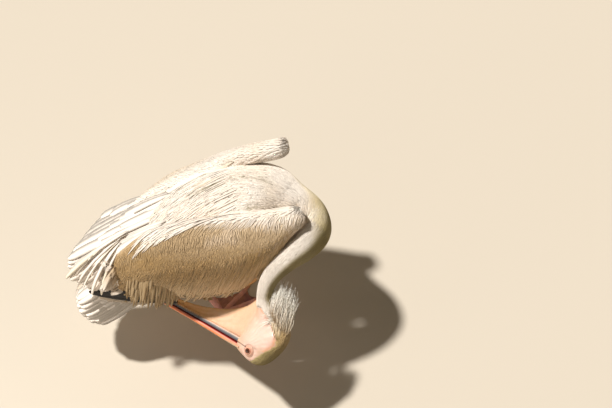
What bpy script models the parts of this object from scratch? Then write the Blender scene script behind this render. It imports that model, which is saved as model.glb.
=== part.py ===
"""Great white pelican, standing and preening: a still, life-size museum model.

Metres, +Z up, the bird faces +X and its left side is +Y. It stands on the floor
z = 0 on its two webbed feet. The neck bends forward, down and round to the right
side; the head hangs crown down beside the right flank and the bill reaches back
under the belly.
"""
import math

import bmesh
import bpy
from mathutils import Vector

for old in list(bpy.data.objects):
    bpy.data.objects.remove(old, do_unlink=True)

# ---------------------------------------------------------------- driving sizes
GAP = 0.0003              # clearance left between neighbouring parts
SHIFT = Vector((0.0931, 0.1044, 0.0))   # brings the middle of the box over the origin
EYE_RADIUS = 0.0095
POUCH_THICK = 0.007       # both walls of the empty pouch together
TARSUS_RADIUS = 0.0095
CLAW_LENGTH = 0.016
LEAN = 0.004              # how far each leg leans outwards as it rises
SHOULDER = 1.6            # how squarely the folded wing turns down at its shoulder
TOE_RADIUS = 0.0062
WEB_LOW, WEB_HIGH = 0.0015, 0.0048

# centre line of the body: x, y, z, half width, half height
TRUNK = [
    (-0.335, -0.042, 0.228, 0.030, 0.018),
    (-0.295, -0.038, 0.247, 0.062, 0.042),
    (-0.225, -0.032, 0.278, 0.100, 0.079),
    (-0.135, -0.022, 0.309, 0.134, 0.113),
    (-0.035, -0.014, 0.332, 0.150, 0.130),
    (0.052, -0.010, 0.344, 0.146, 0.132),
    (0.116, -0.014, 0.353, 0.120, 0.114),
]
NECK_BASE = [
    (0.161, -0.038, 0.359, 0.080, 0.089),
    (0.200, -0.075, 0.366, 0.053, 0.071),
    (0.199, -0.120, 0.371, 0.047, 0.060),
]
NECK_MIDDLE = [
    (0.163, -0.160, 0.372, 0.038, 0.046),
    (0.116, -0.186, 0.367, 0.030, 0.034),
]
NECK_UPPER = [
    (0.074, -0.206, 0.346, 0.0245, 0.026),
    (0.050, -0.222, 0.315, 0.0205, 0.022),
    (0.042, -0.238, 0.284, 0.0200, 0.022),
    (0.038, -0.262, 0.262, 0.0220, 0.025),
    (0.034, -0.292, 0.250, 0.0220, 0.026),
]

# head axes: BILL runs from the gape to the bill tip, SIDE out of the right cheek,
# CROWN from the throat to the crown (downwards, for the head is upside down)
HEAD_AT = Vector((0.0265, -0.333, 0.238))
BILL = Vector((-0.580, 0.793, -0.188)).normalized()
SIDE = Vector((-0.502, -0.166, 0.849)).normalized()
CROWN = SIDE.cross(BILL).normalized()
SIDE = BILL.cross(CROWN).normalized()

# along BILL: place, throat side, crown side, half width
HEAD = [
    (-0.0480, -0.030, -0.004, 0.010),
    (-0.0445, -0.044, 0.013, 0.019),
    (-0.0345, -0.053, 0.038, 0.027),
    (-0.0200, -0.056, 0.060, 0.032),
    (0.0000, -0.054, 0.0705, 0.033),
    (0.0250, -0.046, 0.0705, 0.0315),
    (0.0480, -0.026, 0.0655, 0.0285),
    (0.0660, 0.000, 0.0600, 0.0262),
]
BILL_AT = 0.0664          # where the bill leaves the face
BILL_UPPER = [
    (0.000, 0.0430, 0.0560, 0.0225),
    (0.060, 0.0435, 0.0560, 0.0185),
    (0.140, 0.0445, 0.0555, 0.0150),
    (0.230, 0.0460, 0.0565, 0.0160),
    (0.290, 0.0470, 0.0565, 0.0170),
    (0.318, 0.0460, 0.0555, 0.0120),
    (0.328, 0.0420, 0.0525, 0.0060),
    (0.332, 0.0395, 0.0485, 0.0030),
]
BILL_LOWER = [
    (0.000, 0.0285, 0.0426, 0.0215),
    (0.060, 0.0305, 0.0431, 0.0175),
    (0.140, 0.0335, 0.0441, 0.0140),
    (0.230, 0.0370, 0.0456, 0.0145),
    (0.290, 0.0390, 0.0466, 0.0140),
    (0.313, 0.0400, 0.0456, 0.0090),
]
# pouch: place along BILL, throat-side edge, mandible-side edge
POUCH = [
    (0.0520, -0.096, 0.0300),
    (0.0700, -0.095, 0.0295),
    (0.0840, -0.080, 0.0300),
    (0.1040, -0.049, 0.0305),
    (0.1440, -0.021, 0.0320),
    (0.1960, 0.001, 0.0345),
    (0.2490, 0.016, 0.0370),
    (0.3300, 0.029, 0.0392),
    (0.3560, 0.034, 0.0400),
]
EYE_PLACE = (0.0215, 0.0460, 0.0240)   # along BILL, CROWN and out along SIDE

# wings: x, ridge (y, z), shoulder corner (y, z), lower edge (y, z), radii from top to bottom
RIGHT_WING = [
    (0.176, (-0.121, 0.448), (-0.1245, 0.4450), (-0.126, 0.440), 0.012, 0.012, 0.010),
    (0.170, (-0.119, 0.451), (-0.1250, 0.4470), (-0.129, 0.435), 0.021, 0.020, 0.018),
    (0.150, (-0.117, 0.452), (-0.1310, 0.4480), (-0.135, 0.424), 0.025, 0.022, 0.018),
    (0.120, (-0.113, 0.450), (-0.1530, 0.4500), (-0.157, 0.400), 0.025, 0.017, 0.010),
    (0.078, (-0.107, 0.449), (-0.1750, 0.4520), (-0.180, 0.345), 0.023, 0.014, 0.008),
    (0.030, (-0.102, 0.450), (-0.1870, 0.4550), (-0.188, 0.264), 0.021, 0.013, 0.007),
    (-0.035, (-0.093, 0.451), (-0.1890, 0.4560), (-0.185, 0.228), 0.020, 0.012, 0.006),
    (-0.115, (-0.082, 0.450), (-0.1810, 0.4500), (-0.168, 0.216), 0.019, 0.012, 0.006),
    (-0.205, (-0.071, 0.430), (-0.1580, 0.4270), (-0.142, 0.220), 0.017, 0.011, 0.006),
    (-0.270, (-0.066, 0.392), (-0.1280, 0.3870), (-0.120, 0.236), 0.012, 0.009, 0.005),
    (-0.310, (-0.064, 0.360), (-0.1030, 0.3500), (-0.102, 0.252), 0.007, 0.006, 0.004),
]
LEFT_WING = [
    (0.194, (0.097, 0.453), (0.0987, 0.4502), (0.102, 0.445), 0.013, 0.012, 0.010),
    (0.188, (0.095, 0.455), (0.0984, 0.4498), (0.105, 0.439), 0.023, 0.021, 0.018),
    (0.168, (0.092, 0.455), (0.1004, 0.4448), (0.112, 0.424), 0.028, 0.023, 0.018),
    (0.127, (0.090, 0.455), (0.1218, 0.4433), (0.139, 0.396), 0.026, 0.018, 0.010),
    (0.070, (0.089, 0.452), (0.1529, 0.4114), (0.160, 0.345), 0.022, 0.014, 0.008),
    (0.020, (0.088, 0.437), (0.1686, 0.3959), (0.168, 0.285), 0.020, 0.013, 0.007),
    (-0.040, (0.087, 0.414), (0.1783, 0.3749), (0.164, 0.240), 0.019, 0.012, 0.006),
    (-0.115, (0.085, 0.398), (0.1709, 0.3572), (0.143, 0.219), 0.018, 0.012, 0.006),
    (-0.190, (0.082, 0.371), (0.1373, 0.3257), (0.113, 0.222), 0.016, 0.011, 0.006),
    (-0.245, (0.076, 0.342), (0.1054, 0.2983), (0.086, 0.236), 0.012, 0.009, 0.005),
    (-0.285, (0.066, 0.318), (0.0770, 0.2911), (0.062, 0.252), 0.007, 0.006, 0.004),
]
# long inner quills over the rump and the black flight quills under them
RIGHT_QUILLS = (
    [(-0.220, -0.052, 0.418), (-0.235, -0.095, 0.378), (-0.245, -0.135, 0.312)],
    [(-0.428, -0.012, 0.268), (-0.442, -0.040, 0.272), (-0.414, -0.066, 0.262),
     (-0.386, -0.098, 0.262), (-0.356, -0.118, 0.258)])
LEFT_QUILLS = (
    [(-0.215, 0.092, 0.352), (-0.222, 0.058, 0.364), (-0.228, 0.016, 0.368), (-0.236, -0.026, 0.366)],
    [(-0.309, 0.106, 0.306), (-0.354, 0.076, 0.290), (-0.398, 0.040, 0.282), (-0.420, 0.012, 0.278),
     (-0.428, -0.010, 0.274)])
RIGHT_FLIGHT = (
    [(-0.215, -0.142, 0.238), (-0.215, -0.138, 0.266)],
    [(-0.390, -0.070, 0.236), (-0.366, -0.084, 0.258)])
LEFT_FLIGHT = (
    [(-0.215, 0.096, 0.228), (-0.215, 0.094, 0.256)],
    [(-0.398, 0.006, 0.224), (-0.384, 0.022, 0.246)])
# crest: place along BILL, CROWN and SIDE, roots then tips
CREST = (
    [(0.022, -0.082, 0.022), (-0.004, -0.060, 0.022), (-0.028, -0.048, 0.014), (-0.041, -0.034, 0.004)],
    [(0.046, -0.148, 0.014), (0.020, -0.152, 0.024), (-0.002, -0.150, 0.020), (-0.020, -0.138, 0.006)])

# ------------------------------------------------------------------- materials


def material(name, colour, roughness, coat=0.0):
    mat = bpy.data.materials.new(name)
    mat.use_nodes = True
    bsdf = mat.node_tree.nodes["Principled BSDF"]
    bsdf.inputs["Base Color"].default_value = (*colour, 1.0)
    bsdf.inputs["Roughness"].default_value = roughness
    bsdf.inputs["Coat Weight"].default_value = coat
    mat.diffuse_color = (*colour, 1.0)
    return mat


WHITE = material("plumage_white", (0.86, 0.80, 0.72), 0.85)
WING_WHITE = material("wing_covert_white", (0.88, 0.82, 0.74), 0.8)
CREST_WHITE = material("crest_cream", (0.80, 0.70, 0.52), 0.8)
BLACK = material("flight_black", (0.035, 0.032, 0.032), 0.6)
BILL_PINK = material("bill_upper_horn", (0.78, 0.33, 0.24), 0.4)
BILL_GREY = material("bill_lower_horn", (0.25, 0.25, 0.28), 0.4)
POUCH_SKIN = material("pouch_skin", (0.86, 0.68, 0.45), 0.55)
EYE_DARK = material("eye_brown", (0.05, 0.02, 0.015), 0.1, 0.5)
FOOT_SKIN = material("foot_skin", (0.80, 0.42, 0.36), 0.5)

# --------------------------------------------------------------------- helpers


def mix(a, b, t):
    if isinstance(a, (tuple, list)):
        return tuple(mix(p, q, t) for p, q in zip(a, b))
    return a + (b - a) * t


def spline(a, b, c, d, t):
    """One Catmull-Rom value, term by term for nested tuples."""
    if isinstance(a, (tuple, list)):
        return tuple(spline(p, q, r, s, t) for p, q, r, s in zip(a, b, c, d))
    return 0.5 * (2 * b + (c - a) * t + (2 * a - 5 * b + 4 * c - d) * t * t
                  + (3 * b - a - 3 * c + d) * t ** 3)


def along(stations, u):
    """The row at u, where whole numbers are the stations themselves."""
    last = len(stations) - 1
    i = min(int(u), last - 1)
    before = stations[i - 1] if i else mix(stations[0], stations[1], -1.0)
    after = stations[i + 2] if i + 2 <= last else mix(stations[last - 1], stations[last], 2.0)
    return spline(before, stations[i], stations[i + 1], after, u - i)


def steps(start, end, count):
    return [start + (end - start) * i / (count - 1) for i in range(count)]


def new_object(name, bm, mat):
    bmesh.ops.recalc_face_normals(bm, faces=bm.faces)
    if bm.calc_volume(signed=True) < 0:
        bmesh.ops.reverse_faces(bm, faces=bm.faces)
    mesh = bpy.data.meshes.new(name)
    bm.to_mesh(mesh)
    bm.free()
    mesh.materials.append(mat)
    obj = bpy.data.objects.new(name, mesh)
    bpy.context.scene.collection.objects.link(obj)
    return obj


def loft(name, rings, mat, ladder=None):
    """Skin over closed rings of equal length, each end closed by a fan of triangles.

    A curved blade has its ends closed by a ladder instead, counted both ways from
    the ring point that ladder names.
    """
    bm = bmesh.new()
    rows = [[bm.verts.new(p + SHIFT) for p in ring] for ring in rings]
    n = len(rows[0])
    for low, high in zip(rows, rows[1:]):
        for i in range(n):
            j = (i + 1) % n
            bm.faces.new((low[i], low[j], high[j], high[i]))
    for row, flip in ((rows[0], True), (rows[-1], False)):
        if ladder is not None:
            for k in range(n // 2):
                four = [row[(ladder + k) % n], row[(ladder + k + 1) % n],
                        row[(ladder - k - 1) % n], row[(ladder - k) % n]]
                four = list(dict.fromkeys(four))
                if len(four) > 2:
                    bm.faces.new(reversed(four) if flip else four)
            continue
        centre = bm.verts.new(sum((v.co for v in row), Vector()) / n)
        for i in range(n):
            j = (i + 1) % n
            bm.faces.new((centre, row[j], row[i]) if flip else (centre, row[i], row[j]))
    bmesh.ops.triangulate(bm, faces=[f for f in bm.faces if len(f.verts) > 3])
    return new_object(name, bm, mat)


def oval(centre, across, up, a, b, count, power=2.2, top_power=None):
    """A superellipse ring about centre; the upper half may have its own power."""
    ring = []
    for i in range(count):
        t = 2 * math.pi * i / count
        c, s = math.cos(t), math.sin(t)
        p = top_power if top_power and s > 0 else power
        x = math.copysign(abs(c) ** (2 / p), c) * a
        y = math.copysign(abs(s) ** (2 / p), s) * b
        ring.append(centre + across * x + up * y)
    return ring


def boolean(target, cutter, operation):
    """Apply one exact Boolean to target; the cutter is used up."""
    mod = target.modifiers.new("boolean", "BOOLEAN")
    mod.operation = operation
    mod.solver = "EXACT"
    mod.object = cutter
    bpy.context.view_layer.update()
    graph = bpy.context.evaluated_depsgraph_get()
    mesh = bpy.data.meshes.new_from_object(target.evaluated_get(graph))
    target.modifiers.clear()
    old = target.data
    target.data = mesh
    mesh.name = target.name
    bpy.data.meshes.remove(old)
    bpy.data.objects.remove(cutter, do_unlink=True)
    clean(target)


def clean(obj):
    """Weld hairline edges and split faces into triangles."""
    bm = bmesh.new()
    bm.from_mesh(obj.data)
    bmesh.ops.remove_doubles(bm, verts=bm.verts, dist=0.00004)
    bmesh.ops.dissolve_degenerate(bm, edges=bm.edges, dist=0.00004)
    bmesh.ops.triangulate(bm, faces=bm.faces)
    biggest_shell(bm)
    bm.to_mesh(obj.data)
    bm.free()


def biggest_shell(bm):
    """Drop any crumb that a cut left loose."""
    left = set(bm.verts)
    shells = []
    while left:
        seed = left.pop()
        shell, edge = {seed}, [seed]
        while edge:
            for link in edge.pop().link_edges:
                for v in link.verts:
                    if v in left:
                        left.discard(v)
                        shell.add(v)
                        edge.append(v)
        shells.append(shell)
    shells.sort(key=len)
    for shell in shells[:-1]:
        bmesh.ops.delete(bm, geom=list(shell), context="VERTS")


# ------------------------------------------------------- trunk, neck and head

BODY = TRUNK + NECK_BASE + NECK_MIDDLE + NECK_UPPER
TRUNK_END = len(TRUNK) - 1 + 0.5
BASE_END = TRUNK_END + 3.0
MIDDLE_END = BASE_END + 2.0
UPPER_END = len(BODY) - 1.0


def body_way(u):
    ahead = Vector(along(BODY, min(u + 0.05, len(BODY) - 1))[:3])
    behind = Vector(along(BODY, max(u - 0.05, 0.0))[:3])
    return (ahead - behind).normalized()


def body_ups():
    """Upward directions carried along the body and neck without twisting."""
    ups = [Vector((0.0, 0.0, 1.0))]
    for i in range(1, 20 * (len(BODY) - 1) + 1):
        way = body_way(i / 20)
        ups.append((ups[-1] - way * ups[-1].dot(way)).normalized())
    return ups


UPS = body_ups()


def body_ring(u, count, grow=0.0, push=0.0):
    x, y, z, a, b = along(BODY, u)
    centre = Vector((x, y, z))
    way = body_way(u)
    up = UPS[int(round(u * 20))]
    up = (up - way * up.dot(way)).normalized()
    return oval(centre + way * push, way.cross(up), up, a + grow, b + grow, count, 2.2, 1.85)


def body_length(name, start, end, count, around, mat, grow=0.0):
    us = steps(start, end, count)
    rings = [body_ring(u, around, grow) for u in us]
    half = GAP / 2
    rings[0] = body_ring(start, around, grow, half - grow)
    rings[-1] = body_ring(end, around, grow, grow - half)
    return loft(name, rings, mat)


def trunk(grow=0.0, name="trunk"):
    return body_length(name, 0.0, TRUNK_END, 15, 22, WHITE, grow)


def neck_base(grow=0.0, name="neck_base"):
    return body_length(name, TRUNK_END, BASE_END, 9, 20, WHITE, grow)


def neck_middle(grow=0.0, name="neck_middle"):
    return body_length(name, BASE_END, MIDDLE_END, 7, 18, WHITE, grow)


def neck_upper(grow=0.0, name="neck_upper"):
    return body_length(name, MIDDLE_END, UPPER_END, 11, 16, WHITE, grow)


def head_point(b, k, s):
    return HEAD_AT + BILL * b + CROWN * k + SIDE * s


def profile(name, rows, mat, count, around, grow=0.0, power=2.3, offset=0.0):
    """Loft along BILL from rows of place, throat side, crown side, half width."""
    rings = []
    for i, u in enumerate(steps(0.0, len(rows) - 1.0, count)):
        b, low, high, w = along(rows, u)
        b += offset + (-grow if i == 0 else grow if i == count - 1 else 0.0)
        centre = head_point(b, (low + high) / 2, 0.0)
        rings.append(oval(centre, SIDE, CROWN, w + grow, (high - low) / 2 + grow, around, power))
    return loft(name, rings, mat)


def head(grow=0.0, name="head"):
    return profile(name, HEAD, WHITE, 12, 18, grow)


def bill_upper(grow=0.0, name="bill_upper"):
    return profile(name, BILL_UPPER, BILL_PINK, 13, 12, grow, 2.6, BILL_AT)


def bill_lower(grow=0.0, name="bill_lower"):
    return profile(name, BILL_LOWER, BILL_GREY, 11, 12, grow, 2.6, BILL_AT)


def pouch(name="pouch"):
    rings = []
    for u in steps(0.0, len(POUCH) - 1.0, 14):
        b, low, high = along(POUCH, u)
        deep = high - low
        ring = []
        for i in range(10):
            t = 2 * math.pi * i / 10
            c, s = math.cos(t), math.sin(t)
            k = (low + high) / 2 + math.copysign(abs(s) ** 0.8, s) * deep / 2
            fat = POUCH_THICK / 2 * min(1.0, 0.45 + deep * 12)
            ring.append(head_point(b, k, math.copysign(abs(c) ** 0.7, c) * fat))
        rings.append(ring)
    return loft(name, rings, POUCH_SKIN)


def ball(name, centre, radius, mat, grow=0.0):
    bm = bmesh.new()
    bmesh.ops.create_icosphere(bm, subdivisions=2, radius=radius + grow)
    bmesh.ops.translate(bm, verts=bm.verts, vec=centre + SHIFT)
    return new_object(name, bm, mat)


def eye(name, side, grow=0.0):
    b, k, s = EYE_PLACE
    return ball(name, head_point(b, k, s * side), EYE_RADIUS, EYE_DARK, grow)


# ---------------------------------------------------------------------- wings


def wing_ring(row, grow):
    """One closed outline, from the rounded ridge down to the lower edge and back."""
    x, ridge, corner, low, r0, r1, r2 = row
    a, m, c = (Vector((x, *p)) for p in (ridge, corner, low))
    spine = []
    for s in (0.0, 0.16, 0.36, 0.54, 0.76, 1.0):
        u, v, w = (1 - s) ** 2, SHOULDER * 2 * s * (1 - s), s * s
        p = (a * u + m * v + c * w) / (u + v + w)
        d = (m - a) * ((1 - s) ** 2 * SHOULDER) + (c - a) * (s * (1 - s)) + (c - m) * (s * s * SHOULDER)
        d.normalize()
        r = mix(r0, r1, s / 0.35) if s < 0.35 else mix(r1, r2, (s - 0.35) / 0.65)
        spine.append((p, d, Vector((0.0, -d.z, d.y)), r + grow))
    p, d, n, r = spine[0]
    ring = [p + n * r * math.cos(math.radians(t)) - d * r * math.sin(math.radians(t))
            for t in (135, 90, 45)]
    ring += [p + n * r for p, d, n, r in spine]
    p, d, n, r = spine[-1]
    ring.append(p + d * r)
    ring += [p - n * r for p, d, n, r in reversed(spine)]
    return ring


def wing(name, rows, grow=0.0):
    rings = []
    count = 17
    for i, u in enumerate(steps(0.0, len(rows) - 1.0, count)):
        row = list(along(rows, u))
        row[0] += grow if i == 0 else -grow if i == count - 1 else 0.0
        rings.append(wing_ring(row, grow))
    return loft(name, rings, WING_WHITE, 1)


# --------------------------------------------------- feather fans: tail, quills


def fan(name, roots, tips, feathers, thick_root, thick_tip, notch, sag, mat, per=4, grow=0.0):
    """A solid fan of overlapping feathers with rounded tips.

    roots and tips are rows of points across the fan; each feather ends in its own
    round tip, notch being how deep the step between two of them runs.
    """
    rings = []
    total = feathers * per
    thick_root, thick_tip = thick_root + 3 * grow, thick_tip + 3 * grow
    for i in range(total + 1):
        u = i / total
        root = Vector(along(roots, u * (len(roots) - 1)))
        tip = Vector(along(tips, u * (len(tips) - 1)))
        phase = abs(2 * ((u * feathers) % 1.0) - 1.0)
        if i in (0, total):
            phase = 1.0
        reach = 1.0 - notch * phase ** 2.2
        tip = root + (tip - root) * reach
        run = (tip - root).normalized()
        across = (Vector(tips[-1]) - Vector(tips[0])).normalized()
        normal = run.cross(across).normalized()
        edge = across * (-grow if i == 0 else grow if i == total else 0.0)
        root, tip = root + edge, tip + edge
        top, low = [], []
        for s in (0.0, 0.5, 1.0):
            p = root + (tip - root) * s + normal * sag * 4 * s * (1 - s)
            h = mix(thick_root, thick_tip, s) / 2 * (1.0 - 0.35 * phase)
            top.append(p + normal * h)
            low.append(p - normal * h)
        nose = (top[2] + low[2]) / 2 + run * (thick_tip * 0.4 + 2 * grow)
        heel = (top[0] + low[0]) / 2 - run * (thick_root * 0.2 + 2 * grow)
        rings.append([heel] + top + [nose] + low[::-1])
    return loft(name, rings, mat, 0)


def tail():
    roots = [(-0.282, -0.112, 0.196), (-0.294, -0.084, 0.222), (-0.302, -0.042, 0.238),
             (-0.296, 0.000, 0.230), (-0.284, 0.028, 0.208)]
    tips = [(-0.376, -0.124, 0.156), (-0.418, -0.090, 0.156), (-0.434, -0.045, 0.164),
            (-0.424, 0.000, 0.168), (-0.384, 0.036, 0.170)]
    return fan("tail", roots, tips, 9, 0.012, 0.004, 0.10, -0.004, WHITE, 3)


def whole_wing(name, rows, quills, feathers, grow=0.0):
    """The folded wing with its long inner quills as one body."""
    obj = wing(name, rows, grow)
    roots, tips = quills
    boolean(obj, fan("quills", roots, tips, feathers, 0.012, 0.004, 0.13, 0.004,
                     WING_WHITE, 3, grow), "UNION")
    return obj


def flight(name, quills):
    roots, tips = quills
    return fan(name, roots, tips, 3, 0.008, 0.003, 0.14, 0.003, BLACK, 3)


def crest():
    roots, tips = ([tuple(head_point(*p)) for p in row] for row in CREST)
    return fan("crest", roots, tips, 7, 0.008, 0.003, 0.22, 0.003, CREST_WHITE, 3)


# ----------------------------------------------------------------- legs and feet


def tube(name, path, mat, around=10, grow=0.0):
    """Loft along a path of x, y, z, radius."""
    rings = []
    last = len(path) - 1
    for i, (x, y, z, r) in enumerate(path):
        ahead = Vector(path[min(i + 1, last)][:3])
        behind = Vector(path[max(i - 1, 0)][:3])
        way = (ahead - behind).normalized()
        side = way.cross(Vector((0.13, 0.98, 0.11))).normalized()
        centre = Vector((x, y, z)) + way * (-grow if i == 0 else grow if i == last else 0.0)
        rings.append(oval(centre, side, way.cross(side), r + grow, r + grow, around, 2.0))
    return loft(name, rings, mat)


def leg_path(x, y, lean):
    return [
        (x - 0.004, y, 0.0205, TARSUS_RADIUS * 0.95),
        (x - 0.015, y + lean * 0.2, 0.058, TARSUS_RADIUS * 0.84),
        (x - 0.028, y + lean * 0.5, 0.100, TARSUS_RADIUS * 0.92),
        (x - 0.035, y + lean * 0.8, 0.124, TARSUS_RADIUS * 1.35),
        (x - 0.033, y + lean * 0.9, 0.138, TARSUS_RADIUS * 1.30),
    ]


def leg(name, x, y, lean):
    return tube(name, leg_path(x, y, lean), FOOT_SKIN)


def thigh(name, x, y, lean):
    below, top = (Vector(p[:3]) for p in leg_path(x, y, lean)[-2:])
    way = (top - below).normalized()
    path = [
        (*(top + way * GAP), TARSUS_RADIUS * 1.45),
        (*(top + way * 0.003), TARSUS_RADIUS * 1.65),
        (x - 0.026, y + lean * 1.2, 0.156, TARSUS_RADIUS * 2.7),
        (x - 0.010, y + lean * 1.7, 0.188, TARSUS_RADIUS * 4.4),
        (x + 0.006, y + lean * 2.0, 0.222, TARSUS_RADIUS * 5.2),
    ]
    return tube(name, path, WHITE, 14)


def toe(name, start, end, radius):
    """A toe lying on the floor: round above, flat where it bears."""
    rings = []
    a, b = Vector(start), Vector(end)
    way = (b - a).normalized()
    side = Vector((-way.y, way.x, 0.0))
    for s, fat in ((0.0, 0.90), (0.86, 1.0), (0.97, 0.6), (1.0, 0.28)):
        centre = a + (b - a) * s
        r = radius * fat
        ring = []
        for k in range(6):
            t = 2 * math.pi * k / 6 + math.pi / 6
            p = centre + side * math.cos(t) * r
            p.z = max(0.0, r * 0.92 + math.sin(t) * r)
            ring.append(p)
        rings.append(ring)
    return loft(name, rings, FOOT_SKIN)


def claw(name, start, way, radius):
    rings = []
    for s, fat, rise in ((0.0, 1.0, 0.0), (1.0, 0.22, -0.0012)):
        centre = start + way * CLAW_LENGTH * s + Vector((0, 0, rise))
        side = Vector((-way.y, way.x, 0.0))
        rings.append(oval(centre, side, Vector((0, 0, 1)), radius * fat, radius * fat, 4, 2.0))
    return loft(name, rings, FOOT_SKIN)


def web(name, heel, ends):
    """The sheet of skin between the toes, its free edges curved in."""
    bm = bmesh.new()
    outline = []
    for i, end in enumerate(ends):
        outline.append(heel + (end - heel) * 0.93)
        if i + 1 < len(ends):
            nxt = ends[i + 1]
            for t in (0.3, 0.7):
                p = end + (nxt - end) * t
                reach = 0.93 - 0.13 * 4 * t * (1 - t)
                outline.append(heel + (p - heel) * reach)
    outline.append(heel + Vector((-0.0045, 0.0005, 0.0)))
    low = [bm.verts.new(Vector((p.x, p.y, WEB_LOW)) + SHIFT) for p in outline]
    high = [bm.verts.new(Vector((p.x, p.y, WEB_HIGH)) + SHIFT) for p in outline]
    n = len(outline)
    bm.faces.new(list(reversed(low)))
    bm.faces.new(high)
    for i in range(n):
        j = (i + 1) % n
        bm.faces.new((low[i], low[j], high[j], high[i]))
    bmesh.ops.triangulate(bm, faces=bm.faces)
    return new_object(name, bm, FOOT_SKIN)


def foot(name, x, y, side, turn):
    """Four toes, all joined by web; side is +1 for the left foot."""
    heel = Vector((x, y, 0.0))
    ends = []
    for ang, length in ((-34, 0.104), (-6, 0.132), (20, 0.118), (84, 0.060)):
        t = math.radians(turn - ang * side)
        ends.append(heel + Vector((math.cos(t), math.sin(t), 0.0)) * length)
    obj = web(name, heel, ends)
    for i, end in enumerate(ends):
        boolean(obj, toe("toe", heel, end, TOE_RADIUS * (0.8 if i == 3 else 1.0)), "UNION")
        way = (end - heel).normalized()
        start = end - way * 0.004 + Vector((0, 0, TOE_RADIUS * 0.42))
        boolean(obj, claw("claw", start, way, TOE_RADIUS * 0.42), "UNION")
    ankle, above = (Vector(p[:3]) for p in leg_path(x, y, LEAN * side)[:2])
    way = (above - ankle).normalized()
    boss = [(x + 0.012, y, 0.0075, 0.0065), (x + 0.003, y, 0.0118, 0.0095),
            (*(ankle - way * 0.003), TARSUS_RADIUS), (*(ankle - way * GAP), TARSUS_RADIUS)]
    boolean(obj, tube("boss", boss, FOOT_SKIN, 8), "UNION")
    return obj


# -------------------------------------------------------------------- assembly

WINGS = (("right", RIGHT_WING, RIGHT_QUILLS, 7, RIGHT_FLIGHT),
         ("left", LEFT_WING, LEFT_QUILLS, 9, LEFT_FLIGHT))
body = trunk()
base = neck_base()
middle = neck_middle()
upper = neck_upper()
for part in (body, base, middle, upper):
    for row in WINGS:
        boolean(part, whole_wing("cut", *row[1:4], GAP), "DIFFERENCE")
boolean(upper, head(GAP, "cut"), "DIFFERENCE")
skull = head()
for side, label in ((1, "right"), (-1, "left")):
    boolean(skull, eye("cut", side, GAP), "DIFFERENCE")
    eye("eye_" + label, side)
bill_upper()
bill_lower()
throat = pouch()
boolean(throat, head(GAP, "cut"), "DIFFERENCE")
boolean(throat, neck_upper(GAP, "cut"), "DIFFERENCE")
boolean(throat, bill_lower(GAP, "cut"), "DIFFERENCE")
rear = tail()
boolean(rear, trunk(GAP, "cut"), "DIFFERENCE")
for label, rows, quills, feathers, black in WINGS:
    folded = whole_wing("wing_" + label, rows, quills, feathers)
    if label == "left":
        boolean(folded, whole_wing("cut", *WINGS[0][1:4], GAP), "DIFFERENCE")
    boolean(rear, whole_wing("cut", rows, quills, feathers, GAP), "DIFFERENCE")
    quill = flight("flight_quills_" + label, black)
    boolean(quill, trunk(GAP, "cut"), "DIFFERENCE")
    boolean(quill, whole_wing("cut", rows, quills, feathers, GAP), "DIFFERENCE")
plume = crest()
boolean(plume, head(GAP, "cut"), "DIFFERENCE")
boolean(plume, neck_upper(GAP, "cut"), "DIFFERENCE")
for label, x, y, side, turn in (("right", -0.046, -0.090, -1, 16.0), ("left", -0.050, 0.055, 1, 6.0)):
    foot("foot_" + label, x, y, side, turn)
    leg("leg_" + label, x, y, LEAN * side)
    limb = thigh("thigh_" + label, x, y, LEAN * side)
    boolean(limb, trunk(GAP, "cut"), "DIFFERENCE")
    boolean(limb, bill_lower(GAP, "cut"), "DIFFERENCE")
    boolean(limb, bill_upper(GAP, "cut"), "DIFFERENCE")
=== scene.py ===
"""Looks of the standing, preening white pelican: skin, feathers, bill, eyes, feet, light, camera."""
import math

import bmesh
import bpy
import numpy as np
from mathutils import Matrix, Vector
from mathutils.bvhtree import BVHTree


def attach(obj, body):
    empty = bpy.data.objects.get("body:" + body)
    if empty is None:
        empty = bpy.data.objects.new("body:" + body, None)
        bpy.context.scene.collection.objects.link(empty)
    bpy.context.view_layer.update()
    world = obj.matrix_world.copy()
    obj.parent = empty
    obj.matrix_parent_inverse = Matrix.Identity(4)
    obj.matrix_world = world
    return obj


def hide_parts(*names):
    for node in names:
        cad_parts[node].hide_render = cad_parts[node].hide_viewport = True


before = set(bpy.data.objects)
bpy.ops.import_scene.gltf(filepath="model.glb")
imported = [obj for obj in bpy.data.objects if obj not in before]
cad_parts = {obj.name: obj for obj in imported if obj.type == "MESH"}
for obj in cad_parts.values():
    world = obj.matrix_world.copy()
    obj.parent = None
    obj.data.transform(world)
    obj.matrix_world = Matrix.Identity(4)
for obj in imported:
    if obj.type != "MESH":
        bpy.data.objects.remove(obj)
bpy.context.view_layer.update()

rng = np.random.default_rng(11)
SHIFT = Vector((0.0931, 0.1044, 0.0))
BAKE_MAP = "OFBake"
PATCH = 0.003                      # size of one tuft on the bake map
MAX_TRIANGLES = 196000             # of one coat piece
NEAR_SKIN = .009                   # how far from the skin a vane still follows it

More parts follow.
